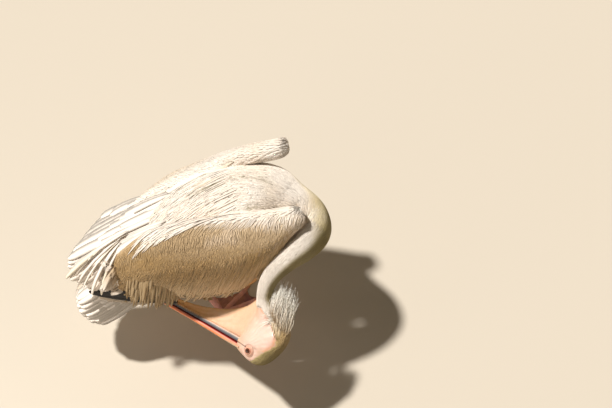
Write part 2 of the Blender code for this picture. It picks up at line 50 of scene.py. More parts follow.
# ------------------------------------------------------------------ body tables
# centre line of the body: x, y, z, half width, half height
BODY = [
    (-.335, -.042, .228, .030, .018), (-.295, -.038, .247, .062, .042), (-.225, -.032, .278, .100, .079),
    (-.135, -.022, .309, .134, .113), (-.035, -.014, .332, .150, .130), (.052, -.010, .344, .146, .132),
    (.116, -.014, .353, .120, .114), (.161, -.038, .359, .080, .089), (.200, -.075, .366, .053, .071),
    (.199, -.120, .371, .047, .060), (.163, -.160, .372, .038, .046), (.116, -.186, .367, .030, .034),
    (.074, -.206, .346, .0245, .026), (.050, -.222, .315, .0205, .022), (.042, -.238, .284, .0200, .022),
    (.038, -.262, .262, .0220, .025), (.034, -.292, .250, .0220, .026)]
TRUNK_END, BASE_END, MIDDLE_END, UPPER_END = 6.5, 9.5, 11.5, 16.0
HEAD_AT = Vector((.0265, -.333, .238))
BILL = Vector((-.580, .793, -.188)).normalized()
SIDE = Vector((-.502, -.166, .849)).normalized()
CROWN = SIDE.cross(BILL).normalized()
SIDE = BILL.cross(CROWN).normalized()
HEAD = [
    (-.0480, -.030, -.004, .010), (-.0445, -.044, .013, .019), (-.0345, -.053, .038, .027),
    (-.0200, -.056, .060, .032), (.0000, -.054, .0705, .033), (.0250, -.046, .0705, .0315),
    (.0480, -.026, .0655, .0285), (.0660, .000, .0600, .0262)]
BILL_AT = .0664
BILL_UPPER = [
    (-.010, .0425, .0565, .0228), (.000, .0430, .0560, .0225), (.060, .0435, .0560, .0185),
    (.140, .0445, .0555, .0150), (.230, .0460, .0565, .0160), (.290, .0470, .0565, .0170),
    (.318, .0460, .0555, .0120), (.328, .0420, .0525, .0060), (.332, .0395, .0485, .0030)]
BILL_LOWER = [
    (-.012, .0275, .0424, .0218), (.000, .0285, .0426, .0215), (.060, .0305, .0431, .0175),
    (.140, .0335, .0441, .0140), (.230, .0370, .0456, .0145), (.290, .0390, .0466, .0140),
    (.313, .0400, .0456, .0090)]
POUCH = [
    (.0300, -.090, .0300), (.0520, -.096, .0300), (.0700, -.095, .0300), (.0840, -.080, .0300),
    (.1040, -.049, .0310), (.1440, -.021, .0325), (.1960, .001, .0350), (.2490, .016, .0375),
    (.3300, .029, .0398), (.3560, .034, .0404)]
EYE_PLACE = Vector((.0215, .0460, .0240))
EYE_RADIUS = .0095
RIGHT_WING = [
    (.176, (-.121, .448), (-.1245, .445), (-.126, .44), .012, .012, .01),
    (.17, (-.119, .451), (-.125, .447), (-.129, .435), .021, .02, .018),
    (.15, (-.117, .452), (-.131, .448), (-.135, .424), .025, .022, .018),
    (.12, (-.113, .45), (-.153, .45), (-.157, .4), .025, .017, .01),
    (.078, (-.107, .449), (-.175, .452), (-.18, .345), .023, .014, .008),
    (.03, (-.102, .45), (-.187, .455), (-.188, .264), .021, .013, .007),
    (-.035, (-.093, .451), (-.189, .456), (-.185, .228), .02, .012, .006),
    (-.115, (-.082, .45), (-.181, .45), (-.168, .216), .019, .012, .006),
    (-.205, (-.071, .43), (-.158, .427), (-.142, .22), .017, .011, .006),
    (-.27, (-.066, .392), (-.128, .387), (-.12, .236), .012, .009, .005),
    (-.31, (-.064, .36), (-.103, .35), (-.102, .252), .007, .006, .004)]
LEFT_WING = [
    (.194, (.097, .453), (.0987, .4502), (.102, .445), .013, .012, .01),
    (.188, (.095, .455), (.0984, .4498), (.105, .439), .023, .021, .018),
    (.168, (.092, .455), (.1004, .4448), (.112, .424), .028, .023, .018),
    (.127, (.09, .455), (.1218, .4433), (.139, .396), .026, .018, .01),
    (.07, (.089, .452), (.1529, .4114), (.16, .345), .022, .014, .008),
    (.02, (.088, .437), (.1686, .3959), (.168, .285), .02, .013, .007),
    (-.04, (.087, .414), (.1783, .3749), (.164, .24), .019, .012, .006),
    (-.115, (.085, .398), (.1709, .3572), (.143, .219), .018, .012, .006),
    (-.19, (.082, .371), (.1373, .3257), (.113, .222), .016, .011, .006),
    (-.245, (.076, .342), (.1054, .2983), (.086, .236), .012, .009, .005),
    (-.285, (.066, .318), (.077, .2911), (.062, .252), .007, .006, .004)]
# fans of long feathers, each with its roots' line and its tips' line
LEFT_QUILLS = (
    [(-.215, .092, .352), (-.222, .058, .364), (-.228, .016, .368), (-.236, -.026, .366)],
    [(-.309, .106, .306), (-.354, .076, .290), (-.398, .040, .282), (-.420, .012, .278),
     (-.428, -.010, .274)])
RIGHT_FLIGHT = (
    [(-.215, -.146, .240), (-.215, -.142, .268)], [(-.388, -.072, .238), (-.360, -.086, .262)])
LEFT_FLIGHT = (
    [(-.215, .096, .228), (-.215, .094, .256)], [(-.398, .006, .224), (-.384, .022, .246)])
TAIL = (
    [(-.282, -.112, .196), (-.294, -.084, .222), (-.302, -.042, .238), (-.296, .000, .230),
     (-.284, .028, .208)],
    [(-.374, -.126, .156), (-.412, -.094, .156), (-.426, -.050, .164), (-.410, -.004, .168),
     (-.376, .034, .170)])
CREST = (
    [(.020, -.064, .024), (-.006, -.052, .023), (-.028, -.038, .018), (-.043, -.024, .006)],
    [(.046, -.144, .016), (.022, -.150, .026), (.000, -.148, .022), (-.018, -.134, .006)])
# drooping feathers over the rump: root, tip, half width
TERTIALS = [
    ((-.262, -.030, .412), (-.4388, -.0404, .275), .0075),
    ((-.290, -.040, .398), (-.4119, -.0616, .268), .0042),
    ((-.292, -.043, .394), (-.4006, -.0771, .266), .0030),
    ((-.288, -.047, .395), (-.3823, -.0982, .262), .0055),
    ((-.284, -.051, .390), (-.3589, -.1045, .260), .0058),
    ((-.276, -.057, .390), (-.3325, -.0919, .268), .0050),
    ((-.266, -.060, .392), (-.3120, -.1040, .285), .0046),
    ((-.256, -.062, .400), (-.3052, -.0640, .330), .0038),
    ((-.246, -.066, .404), (-.2846, -.0640, .350), .0036),
    ((-.300, -.030, .390), (-.4230, -.0480, .270), .0036)]
FEET = (("right", -.046, -.090, -1, 16.0), ("left", -.050, .055, 1, 6.0))
LEAN = .004                        # how far each leg leans outwards
LEG_RADIUS = .0095
SHOULDER = 1.6                     # weight of the corner in a wing's section

# how thick the plumage lies over the skin, at places along the body's centre line
DEPTH_AT = (0, 2, 6, 8, 10, 12, 14, 16)
DEPTH = (.0040, .0045, .0040, .0034, .0028, .0024, .0020, .0018)
THIN_FEATHER, FEATHER, STRAND = .0002, .0003, .0004      # thicknesses

# colours, linear
WHITE = np.array((.90, .820, .745))
SOOT = np.array((.018, .016, .016))
FLESH = np.array((.78, .61, .49))
CREAM = (.84, .69, .50)
BUFF = (.56, .38, .16)
# olive painted shade: below the breast, along the neck's shaded side and over the crown
OLIVE_SHADE = (.34, .27, .11)
# painted shade for the near wing's side, and a deeper painted shade low down and towards the back
FLANK_PAINTED_SHADE, DEEP_PAINTED_SHADE = (.50, .325, .135), (.36, .225, .09)
FAR_STAIN, BELLY_STAIN = (.70, .55, .36), (.74, .60, .42)
WARM, YELLOW = (.86, .72, .60), (.84, .70, .38)
DIRT, FAINT_DIRT = (.26, .22, .12), (.34, .28, .16)
PALE_CHEEK, POUCH_YELLOW = (.88, .72, .58), (.88, .62, .24)


# ---------------------------------------------------------------------- helpers

def mix(a, b, t):
    if isinstance(a, (tuple, list)):
        return tuple(mix(p, q, t) for p, q in zip(a, b))
    return a + (b - a) * t


def spline(a, b, c, d, t):
    if isinstance(a, (tuple, list)):
        return tuple(spline(p, q, r, s, t) for p, q, r, s in zip(a, b, c, d))
    return .5 * (2 * b + (c - a) * t + (2 * a - 5 * b + 4 * c - d) * t * t
                 + (3 * b - a - 3 * c + d) * t ** 3)


def along(rows, u):
    """The row at u, where whole numbers are the rows themselves."""
    last = len(rows) - 1
    i = max(0, min(int(u), last - 1))
    before = rows[i - 1] if i else mix(rows[0], rows[1], -1.0)
    after = rows[i + 2] if i + 2 <= last else mix(rows[last - 1], rows[last], 2.0)
    return spline(before, rows[i], rows[i + 1], after, u - i)


def smooth(low, high, x):
    t = np.clip((np.asarray(x, float) - low) / (high - low), 0.0, 1.0)
    return t * t * (3 - 2 * t)


def unit(v):
    return v / np.maximum(np.linalg.norm(v, axis=-1, keepdims=True), 1e-9)


def squared(v, power):
    """v raised to a power with its sign kept: rounds a square or squares a circle."""
    return math.copysign(abs(v) ** power, v)


def oval(centre, across, up, a, b, count, power=2.2, top_power=None):
    ring = []
    for i in range(count):
        t = 2 * math.pi * i / count
        c, s = math.cos(t), math.sin(t)
        p = top_power if top_power and s > 0 else power
        ring.append(centre + across * squared(c, 2 / p) * a + up * squared(s, 2 / p) * b)
    return ring


class Parts:
    """Closed lofts gathered into one mesh, each with a region number."""

    def __init__(self):
        self.verts, self.faces, self.region = [], [], []

    def loft(self, rings, region):
        at, n = len(self.verts), len(rings[0])
        for ring in rings:
            self.verts += [tuple(p + SHIFT) for p in ring]
        for i in range(len(rings) - 1):
            for j in range(n):
                k = (j + 1) % n
                self.faces.append((at + i * n + j, at + i * n + k, at + (i + 1) * n + k, at + (i + 1) * n + j))
        for row, flip in ((0, True), (len(rings) - 1, False)):
            mid = len(self.verts)
            self.verts.append(tuple(sum((p for p in rings[row]), Vector()) / n + SHIFT))
            for j in range(n):
                a, b = at + row * n + j, at + row * n + (j + 1) % n
                self.faces.append((mid, b, a) if flip else (mid, a, b))
        self.region += [region] * (len(self.faces) - len(self.region))

    def mesh(self, name):
        me = bpy.data.meshes.new(name)
        me.from_pydata(self.verts, [], self.faces)
        bm = bmesh.new()
        bm.from_mesh(me)
        bmesh.ops.recalc_face_normals(bm, faces=bm.faces)
        bm.to_mesh(me)
        bm.free()
        return me


def placed(name, data):
    obj = bpy.data.objects.new(name, data)
    bpy.context.scene.collection.objects.link(obj)
    return obj


def apply_modifiers(obj):
    bpy.context.view_layer.update()
    done = bpy.data.meshes.new_from_object(obj.evaluated_get(bpy.context.evaluated_depsgraph_get()))
    obj.modifiers.clear()
    old, obj.data = obj.data, done
    bpy.data.meshes.remove(old)


def remeshed(parts, name, voxel, rounds):
    """One closed skin round all the parts, smoothed."""
    obj = placed(name, parts.mesh(name))
    mod = obj.modifiers.new("remesh", "REMESH")
    mod.mode, mod.voxel_size = "VOXEL", voxel
    soft = obj.modifiers.new("soft", "SMOOTH")
    soft.factor, soft.iterations = .5, rounds
    apply_modifiers(obj)
    return obj


def coords(me):
    co = np.zeros(len(me.vertices) * 3)
    me.vertices.foreach_get("co", co)
    return co.reshape(-1, 3)


def set_coords(me, co):
    me.vertices.foreach_set("co", np.ascontiguousarray(co, np.float32).ravel())
    me.update()


def paint(me, rgb, name="tint"):
    layer = me.color_attributes.new(name, "FLOAT_COLOR", "POINT")
    data = np.ones((len(me.vertices), 4), np.float32)
    data[:, :3] = rgb
    layer.data.foreach_set("color", data.ravel())


def shade_smooth(me):
    me.polygons.foreach_set("use_smooth", np.ones(len(me.polygons), bool))
    me.update()


def finish_piece(obj, mat, replaced, slot):
    obj.data.materials.clear()
    obj.data.materials.append(mat)
    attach(obj, "root")
    if replaced:
        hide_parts(*replaced)


def head_point(b, k, s):
    return HEAD_AT + BILL * b + CROWN * k + SIDE * s


def to_head(p):
    """Points in the row frame as places along BILL, CROWN and SIDE."""
    q = np.asarray(p) - np.array(HEAD_AT + SHIFT)
    return q @ np.array(BILL), q @ np.array(CROWN), q @ np.array(SIDE)


def corners(f):
    """The eight corners of a cell, with each one's weight at place f in it."""
    for dx in (0, 1):
        for dy in (0, 1):
            for dz in (0, 1):
                sides = (f[:, i] if d else 1 - f[:, i] for i, d in enumerate((dx, dy, dz)))
                yield dx, dy, dz, math.prod(sides, start=1.0)


def value_noise(p, size, seed=0):
    """Soft random values from 0 to 1 over space."""
    q = np.asarray(p, float) / size + seed * 17.31
    i = np.floor(q).astype(np.int64)
    f = q - i
    f = f * f * (3 - 2 * f)
    total = np.zeros(len(q))
    for dx, dy, dz, weight in corners(f):
        h = (i[:, 0] + dx) * 73856093 ^ (i[:, 1] + dy) * 19349663 ^ (i[:, 2] + dz) * 83492791
        h = (h ^ (h >> 13)) * 1274126177 & 0x7fffffff
        total += weight * (h % 65536) / 65535.0
    return total


def washed(rgb, washes):
    """Colours laid over rgb in turn: each wash is a colour and how much of it, from 0 to 1."""
    for colour, amount in washes:
        rgb = rgb + (np.array(colour) - rgb) * np.clip(amount, 0, 1)[:, None]
    return rgb


def blended(rgb, colour, amount):
    amount = amount[:, None]
    return rgb * (1 - amount) + np.array(colour) * amount


# -------------------------------------------------------------------- materials

class Shader:
    """One material and its nodes. A node's input takes a value or another node's output."""

    def __init__(self, name):
        self.mat = bpy.data.materials.new(name)
        self.mat.use_nodes = True
        self.tree = self.mat.node_tree

    def fill(self, node, inputs):
        for key, value in inputs.items():
            if isinstance(value, bpy.types.NodeSocket):
                self.tree.links.new(value, node.inputs[key])
            else:
                node.inputs[key].default_value = value

    def surface(self, **inputs):
        """Fill the surface's own inputs, written with _ for a space."""
        self.fill(self.tree.nodes["Principled BSDF"], {k.replace("_", " "): v for k, v in inputs.items()})

    def node(self, kind, inputs, out=0, **settings):
        """One output of a new node."""
        made = self.tree.nodes.new("ShaderNode" + kind)
        for key, value in settings.items():
            setattr(made, key, value)
        self.fill(made, inputs)
        return made.outputs[out]

    def noise(self, where, scale, detail):
        return self.node("TexNoise", {"Vector": where, "Scale": scale, "Detail": detail}, "Fac")

    def ranged(self, value, low, high, start=0.0, end=1.0):
        return self.node("MapRange", {"Value": value, "From Min": start, "From Max": end, "To Min": low,
                                      "To Max": high}, "Result")

    def tint(self, level):
        """Colour the surface with the mesh's own tint times level."""
        tint = self.node("Attribute", {}, "Color", attribute_name="tint")
        self.surface(Base_Color=self.node("VectorMath", {0: tint, "Scale": level}, operation="SCALE"))

    def bump(self, height, strength, distance):
        self.surface(Normal=self.node("Bump", {"Height": height, "Strength": strength, "Distance": distance}))


def tinted(name, roughness, spread, grain, bump, bump_scale, coat=0.0, deep=0.0, cells=False):
    """A surface whose colour is the mesh's own tint, broken up by fine noise."""
    m = Shader(name)
    where = m.node("TexCoord", {}, "Object")
    wide = m.noise(where, grain / 9, 3.0)
    both = m.node("Math", {0: m.noise(where, grain, 4.0), 1: wide}, operation="ADD")
    m.tint(m.ranged(both, 1.0 - spread, 1.0 + spread, .6, 1.4))
    if cells:
        edge = m.node("TexVoronoi", {"Vector": where, "Scale": bump_scale}, "Distance",
                      feature="DISTANCE_TO_EDGE")
        m.bump(m.ranged(edge, 0.0, 1.0, 0.0, .12), bump, .001)
    else:
        m.bump(m.noise(where, bump_scale, 5.0), bump, .001)
    m.surface(Roughness=m.ranged(wide, roughness - .08, roughness + .08), Coat_Weight=coat, Coat_Roughness=.15,
              Subsurface_Weight=deep, Subsurface_Radius=(.0040, .0018, .0010), Subsurface_Scale=1.0)
    return m.mat


def vane_material(name, roughness, barbs):
    """Feather vanes: the mesh's tint, with barbs that slant out from the middle."""
    m = Shader(name)
    across = m.node("SeparateXYZ", {0: m.node("UVMap", {}, uv_map="vane")}, "X")
    off = m.node("Math", {0: across, 1: .5}, operation="SUBTRACT")
    side = m.node("Math", {0: off}, operation="ABSOLUTE")
    slant = m.node("Math", {0: side, 1: -.22, 2: across.node.outputs["Y"]}, operation="MULTIPLY_ADD")
    wave = m.noise(m.node("CombineXYZ", {"Y": slant}), 46.0, 3.0)
    m.tint(m.ranged(wave, 1.0 - barbs, 1.0 + barbs * .6, .3, .7))
    m.bump(wave, .10, .0004)
    m.surface(Roughness=m.ranged(wave, roughness - .06, roughness + .06), Sheen_Weight=.10, Sheen_Roughness=.5,
              Specular_IOR_Level=.3)
    return m.mat


def eye_material():
    m = Shader("eye_surface")
    m.tint(m.ranged(m.node("TexNoise", {"Scale": 900.0}, "Fac"), .7, 1.3))
    m.surface(Roughness=.06, Coat_Weight=1.0, Coat_Roughness=.02, IOR=1.4)
    return m.mat


SKIN = tinted("pelican_skin", .55, .07, 700.0, .35, 420.0, coat=.08, deep=.12)
PLUMAGE = vane_material("plumage", .72, .06)
QUILL = vane_material("quill_feathers", .62, .05)
BLACK = vane_material("black_flight_feathers", .5, .3)
HORN = tinted("bill_horn", .34, .10, 500.0, .12, 300.0, coat=.25)
FOOT = tinted("foot_skin", .48, .12, 500.0, .5, 330.0, coat=.12, deep=.1, cells=True)
CLAW = tinted("claw_horn", .3, .10, 600.0, .1, 500.0, coat=.3)
EYE = eye_material()

# ------------------------------------------------------- the body's centre line


def body_way(u):
    ahead = Vector(along(BODY, min(u + .05, len(BODY) - 1))[:3])
    behind = Vector(along(BODY, max(u - .05, 0.0))[:3])
    return (ahead - behind).normalized()


LINE_STEP = 20
LINE_U = np.arange(LINE_STEP * (len(BODY) - 1) + 1) / LINE_STEP
WAYS = [body_way(u) for u in LINE_U]
UPS = [Vector((0, 0, 1))]
for way_here in WAYS[1:]:
    UPS.append((UPS[-1] - way_here * UPS[-1].dot(way_here)).normalized())
LINE_P = np.array([Vector(along(BODY, u)[:3]) + SHIFT for u in LINE_U])
LINE_WAY, LINE_UP = np.array(WAYS), np.array(UPS)
LINE_SIDE = np.cross(LINE_WAY, LINE_UP)


def body_ring(u, count, inset):
    x, y, z, a, b = along(BODY, u)
    i = int(round(u * LINE_STEP))
    up = (UPS[i] - WAYS[i] * UPS[i].dot(WAYS[i])).normalized()
    depth = inset(u)
    return oval(Vector((x, y, z)), WAYS[i].cross(up), up, a - depth, b - depth, count, 2.2, 1.85)


def body_depth(u):
    return float(np.interp(u, DEPTH_AT, DEPTH))


def body_place(p, low, high):
    """The nearest place on the centre line, and the angle round it, of each point."""
    pick = np.where((LINE_U >= low) & (LINE_U <= high))[0]
    best = np.full(len(p), 9e9)
    found = np.zeros(len(p), int)
    for i in pick:
        d = ((p - LINE_P[i]) ** 2).sum(1)
        near = d < best
        best[near], found[near] = d[near], i
    q = p - LINE_P[found]
    angle = np.arctan2((q * LINE_UP[found]).sum(1), (q * LINE_SIDE[found]).sum(1))
    return found, angle


def wing_spine(row, s, inset=0.0):
    x, ridge, corner, low, r0, r1, r2 = row
    a, m, c = (Vector((x, *p)) for p in (ridge, corner, low))
    u, v, w = (1 - s) ** 2, SHOULDER * 2 * s * (1 - s), s * s
    p = (a * u + m * v + c * w) / (u + v + w)
    d = (m - a) * ((1 - s) ** 2 * SHOULDER) + (c - a) * (s * (1 - s)) + (c - m) * (s * s * SHOULDER)
    d.normalize()
    r = mix(r0, r1, s / .35) if s < .35 else mix(r1, r2, (s - .35) / .65)
    return p, d, Vector((0.0, -d.z, d.y)), max(r - inset, .0022)


def wing_depth(u):
    """How thick the plumage lies over a wing: thinnest round the wrist."""
    return .0006 + .0026 * smooth(.25, 1.8, u)


def wing_ring(row, inset):
    spine = [wing_spine(row, s, inset) for s in np.linspace(0, .93, 12)]
    p, d, n, r = spine[0]
    ring = [p + n * r * math.cos(t) - d * r * math.sin(t) for t in (2.6, 2.1, 1.57, 1.05, .5)]
    ring += [p + n * r for p, d, n, r in spine]
    p, d, n, r = spine[-1]
    ring += [p + n * r * .7 + d * r * .7, p + d * r, p - n * r * .7 + d * r * .7]
    return ring + [p - n * r for p, d, n, r in reversed(spine)]


# ------------------------------------------------------------------------- skin
R_TRUNK, R_BASE, R_MIDDLE, R_UPPER, R_HEAD, R_POUCH, R_THIGH, R_WING_R, R_WING_L = range(9)
OFF_NECK = (R_TRUNK, R_THIGH, R_WING_R, R_WING_L)


def leg_path(x, y, lean):
    r = LEG_RADIUS
    return [(x - .004, y, .0205, r * .95), (x - .015, y + lean * .2, .058, r * .84),
            (x - .028, y + lean * .5, .100, r * .92), (x - .035, y + lean * .8, .124, r * 1.35),
            (x - .033, y + lean * .9, .138, r * 1.30)]


def tube_rings(path, around=20, steps=None):
    steps = steps or (len(path) - 1) * 5
    rows = [along(path, u) for u in np.linspace(0, len(path) - 1, steps + 1)]
    rings = []
    for i, (x, y, z, r) in enumerate(rows):
        ahead = Vector(rows[min(i + 1, steps)][:3])
        behind = Vector(rows[max(i - 1, 0)][:3])
        way = (ahead - behind).normalized()
        side = way.cross(Vector((.13, .98, .11))).normalized()
        rings.append(oval(Vector((x, y, z)), side, way.cross(side), r, r, around, 2.0))
    return rings


def head_rings(rows, count, around, inset):
    rings = []
    for u in np.linspace(0, len(rows) - 1, count):
        b, low, high, w = along(rows, u)
        centre = head_point(b, (low + high) / 2, 0.0)
        rings.append(oval(centre, SIDE, CROWN, w - inset, (high - low) / 2 - inset, around, 2.3))
    return rings


def pouch_rings():
    """The pouch hangs from both jaws as a wedge: wide between the jaws, thin at its free edge."""
    rings = []
    for u in np.linspace(0, len(POUCH) - 1, 72):
        b, low, high = along(POUCH, u)
        jaw = float(np.interp(b, (.03, .05, .0664, .10, .15, .21, .30, .36),
                              (.0270, .0262, .0235, .0190, .0160, .0138, .0134, .0110)))
        edge = float(np.interp(b, (.03, .06, .09, .12, .2, .36), (.0120, .0100, .0058, .0036, .0026, .0020)))
        deep = high - low
        narrow = min(1.0, .35 + 1.2 * deep / .03)
        ring = []
        for i in range(36):
            t = 2 * math.pi * i / 36
            k = (low + high) / 2 + squared(math.sin(t), .8) * deep / 2
            above = max((k - low) / max(deep, 1e-4), 0.0)
            fat = edge + (jaw - edge) * float(smooth(.0, 1.0, above ** (1.0 + 14 * max(b - .05, 0.0))))
            ring.append(head_point(b, k, squared(math.cos(t), .6) * fat * narrow))
        rings.append(ring)
    return rings


def build_skin():
    parts = Parts()
    spans = ((0.0, TRUNK_END, R_TRUNK), (TRUNK_END, BASE_END, R_BASE), (BASE_END, MIDDLE_END, R_MIDDLE),
             (MIDDLE_END, UPPER_END, R_UPPER))
    for low, high, region in spans:
        us = np.round(np.linspace(low, min(high + .05, 16.0), 28) * LINE_STEP) / LINE_STEP
        parts.loft([body_ring(u, 64, body_depth) for u in sorted(set(us))], region)
    parts.loft(head_rings(HEAD, 40, 56, .0012), R_HEAD)
    parts.loft(pouch_rings(), R_POUCH)
    for _, x, y, side, _ in FEET:
        lean = LEAN * side
        path = [(x - .0345, y + lean * .85, .132, LEG_RADIUS * 1.25),
                (x - .030, y + lean, .146, LEG_RADIUS * 1.6),
                (x - .026, y + lean * 1.2, .156, LEG_RADIUS * 2.3),
                (x - .010, y + lean * 1.7, .188, LEG_RADIUS * 3.9),
                (x + .006, y + lean * 2.0, .225, LEG_RADIUS * 4.8)]
        parts.loft(tube_rings(path, 28), R_THIGH)
    for rows, region in ((RIGHT_WING, R_WING_R), (LEFT_WING, R_WING_L)):
        us = np.linspace(.25, len(rows) - 1, 60)
        parts.loft([wing_ring(along(rows, u), wing_depth(u)) for u in us], region)
    return remeshed(parts, "skin", .0025, 4), parts


def thin_out(obj, ratio):
    """Fewer faces away from the head and the pouch."""
    b, k, s = to_head(coords(obj.data))
    near = (b > -.075) & (k > -.115) & (np.abs(s) < .05) & (k < .09)
    group = obj.vertex_groups.new(name="body")
    group.add([int(i) for i in np.where(~near)[0]], 1.0, "REPLACE")
    mod = obj.modifiers.new("thin", "DECIMATE")
    mod.ratio, mod.vertex_group = ratio, "body"
    mod.vertex_group_factor = 1.0
    apply_modifiers(obj)
    obj.vertex_groups.clear()


def eye_axis(side):
    out = (BILL * .06 + CROWN * .13 + SIDE * .99 * side).normalized()
    return out, head_point(EYE_PLACE.x, EYE_PLACE.y, EYE_PLACE.z * side) + SHIFT


def relax(me, weight, rounds):
    """Soften creases where weight is 1, without thinning what is there."""
    edges = np.zeros(len(me.edges) * 2, int)
    me.edges.foreach_get("vertices", edges)
    a, b = edges.reshape(-1, 2).T
    co = coords(me)
    count = np.bincount(np.concatenate([a, b]), minlength=len(co)).astype(float)[:, None]
    for _ in range(rounds):
        for factor in (.6, -.58):
            near = np.zeros_like(co)
            np.add.at(near, a, co[b])
            np.add.at(near, b, co[a])
            co = co + (near / count - co) * weight[:, None] * factor
    set_coords(me, co)


def gape_line(b):
    return .0405 + .0008 * np.sin((b - .02) * 90) - .0035 * smooth(.022, .008, b)


def eye_oval(p, side):
    """An eye's axis, then each point's height along it and distance from it, plain and on two ovals."""
    axis, eye = (np.array(v) for v in eye_axis(side))
    q = p - eye
    high = q @ axis
    flat = q - high[:, None] * axis
    x, y = flat @ np.array(BILL), flat @ np.array(CROWN)
    long, short = (x - y) * .7071, (x + y) * .7071
    level = np.sqrt((x / 1.10) ** 2 + (y / .94) ** 2)
    tilted = np.sqrt((long / 1.12) ** 2 + (short / .96) ** 2)
    return axis, high, np.linalg.norm(flat, axis=1), level, tilted


def sculpt_head(obj):
    """Joins of head, neck and pouch, lids round each eye, the gape fold, brow, cheek and wrinkles."""
    b, k, s = to_head(coords(obj.data))
    soft = smooth(-.040, -.015, b) * smooth(.118, .095, b) * smooth(.036, .026, k) * smooth(-.125, -.105, k)
    reach = np.sqrt((b - .03) ** 2 + (k + .03) ** 2) + .012
    soft *= smooth(.085, .070, reach) + smooth(.05, .0, np.abs(k + .03)) * .5
    relax(obj.data, np.clip(soft, 0, 1), 60)
    bm = bmesh.new()
    bm.from_mesh(obj.data)
    bmesh.ops.triangulate(bm, faces=[f for f in bm.faces if len(f.verts) > 3])
    for reach in (.026, .016):
        near = []
        for side in (1, -1):
            eye = eye_axis(side)[1]
            near += [e for e in bm.edges if all((v.co - eye).length < reach for v in e.verts)]
        bmesh.ops.subdivide_edges(bm, edges=near, cuts=1, use_grid_fill=False)
        bmesh.ops.triangulate(bm, faces=[f for f in bm.faces if len(f.verts) > 3])
    me = obj.data
    bm.to_mesh(me)
    bm.free()
    co = coords(me)
    b, k, s = to_head(co)
    line = gape_line(b)
    groove = np.exp(-((k - line) / .0013) ** 2) * smooth(.012, .018, b) * smooth(.085, .070, b)
    lip = np.exp(-((k - line + .0035) / .0022) ** 2) * smooth(.008, .02, b) * smooth(.085, .070, b)
    out = np.sign(s)[:, None] * np.array(SIDE)
    outer = smooth(.010, .016, np.abs(s))
    co -= out * (groove * .0016 * outer)[:, None]
    co += out * (lip * .0009 * outer)[:, None]
    brow = np.exp(-(((b - .020) / .016) ** 2 + ((k - .062) / .006) ** 2)) * outer
    cheek = np.exp(-(((b + .004) / .020) ** 2 + ((k - .012) / .022) ** 2)) * outer
    co += out * (brow * .0012 + cheek * .0012)[:, None]
    # loose folds of the cheek and the pouch's root, fanning from behind the gape
    fan = np.arctan2(k - .060, b - .055)
    ripple = np.sin(fan * 46 + 5 * value_noise(co, .02, 41)) * value_noise(co, .011, 42)
    area = smooth(-.03, -.01, b) * smooth(.11, .06, b) * smooth(.036, .028, k) * smooth(-.075, -.045, k)
    co += out * (ripple * area * .00055 * outer)[:, None]
    # long folds along the pouch
    low = np.interp(b, [r[0] for r in POUCH], [r[1] for r in POUCH])
    fold = np.sin((k - low) * 420 + 3 * value_noise(co, .03, 43)) * smooth(.09, .12, b) * smooth(.36, .3, b)
    fold *= smooth(.002, .006, k - low) * smooth(.0, .008, .030 - k)
    co += out * (fold * .0005)[:, None]
    for side in (1, -1):
        axis, high, r, oval_r, tilt = eye_oval(co, side)
        near = (r < .024) & (high > -.006)
        ball = np.sqrt(np.maximum((EYE_RADIUS + .0007) ** 2 - np.minimum(r, EYE_RADIUS) ** 2, 0.0))
        shell = ball * smooth(.0150, .0095, oval_r)
        lidded = smooth(.0175, .0090, oval_r)
        rim = np.exp(-((oval_r - .0074) / .0010) ** 2) * .0011
        ring = np.exp(-((tilt - .0103) / .0011) ** 2) * .0007
        sunk = np.exp(-((tilt - .0146) / .0014) ** 2) * .0013
        sunk -= np.exp(-((tilt - .0125) / .0012) ** 2) * .0004
        wanted = high * (1 - lidded) + shell * lidded + rim + ring - sunk
        inside = smooth(.0068, .0058, oval_r)
        wanted = wanted * (1 - inside) + (EYE_RADIUS - .0050) * inside
        co += np.where(near, wanted - high, 0.0)[:, None] * axis
    set_coords(me, co)


# edge of the bare face: places along CROWN and BILL
FACE_EDGE = ((-.130, .090), (-.092, .070), (-.076, .058), (-.058, .039), (-.051, .022), (-.047, .006),
             (-.038, -.016), (-.028, -.027), (-.015, -.034), (.003, -.037), (.016, -.031), (.025, -.025),
             (.034, -.018), (.049, -.007), (.058, -.001), (.066, .010), (.08, .040))
FACE_K, FACE_B = zip(*FACE_EDGE)


def bareness(p):
    """1 on the bare face and pouch, 0 where feathers grow."""
    b, k, s = to_head(p)
    edge = np.interp(k, FACE_K, FACE_B) + .004 * (value_noise(p, .005, 3) - .5)
    bare = smooth(-.0022, .0022, b - edge)
    body, _ = body_place(p, 12.0, 16.0)
    on_neck = (LINE_U[body] < 14.6) & (np.linalg.norm(p - LINE_P[body], axis=1) < .0265) & (b < .070)
    far = (np.abs(s) > .055) | (k > .12) | (k < -.125)
    return np.where(on_neck | far | (b < -.08), 0.0, bare)


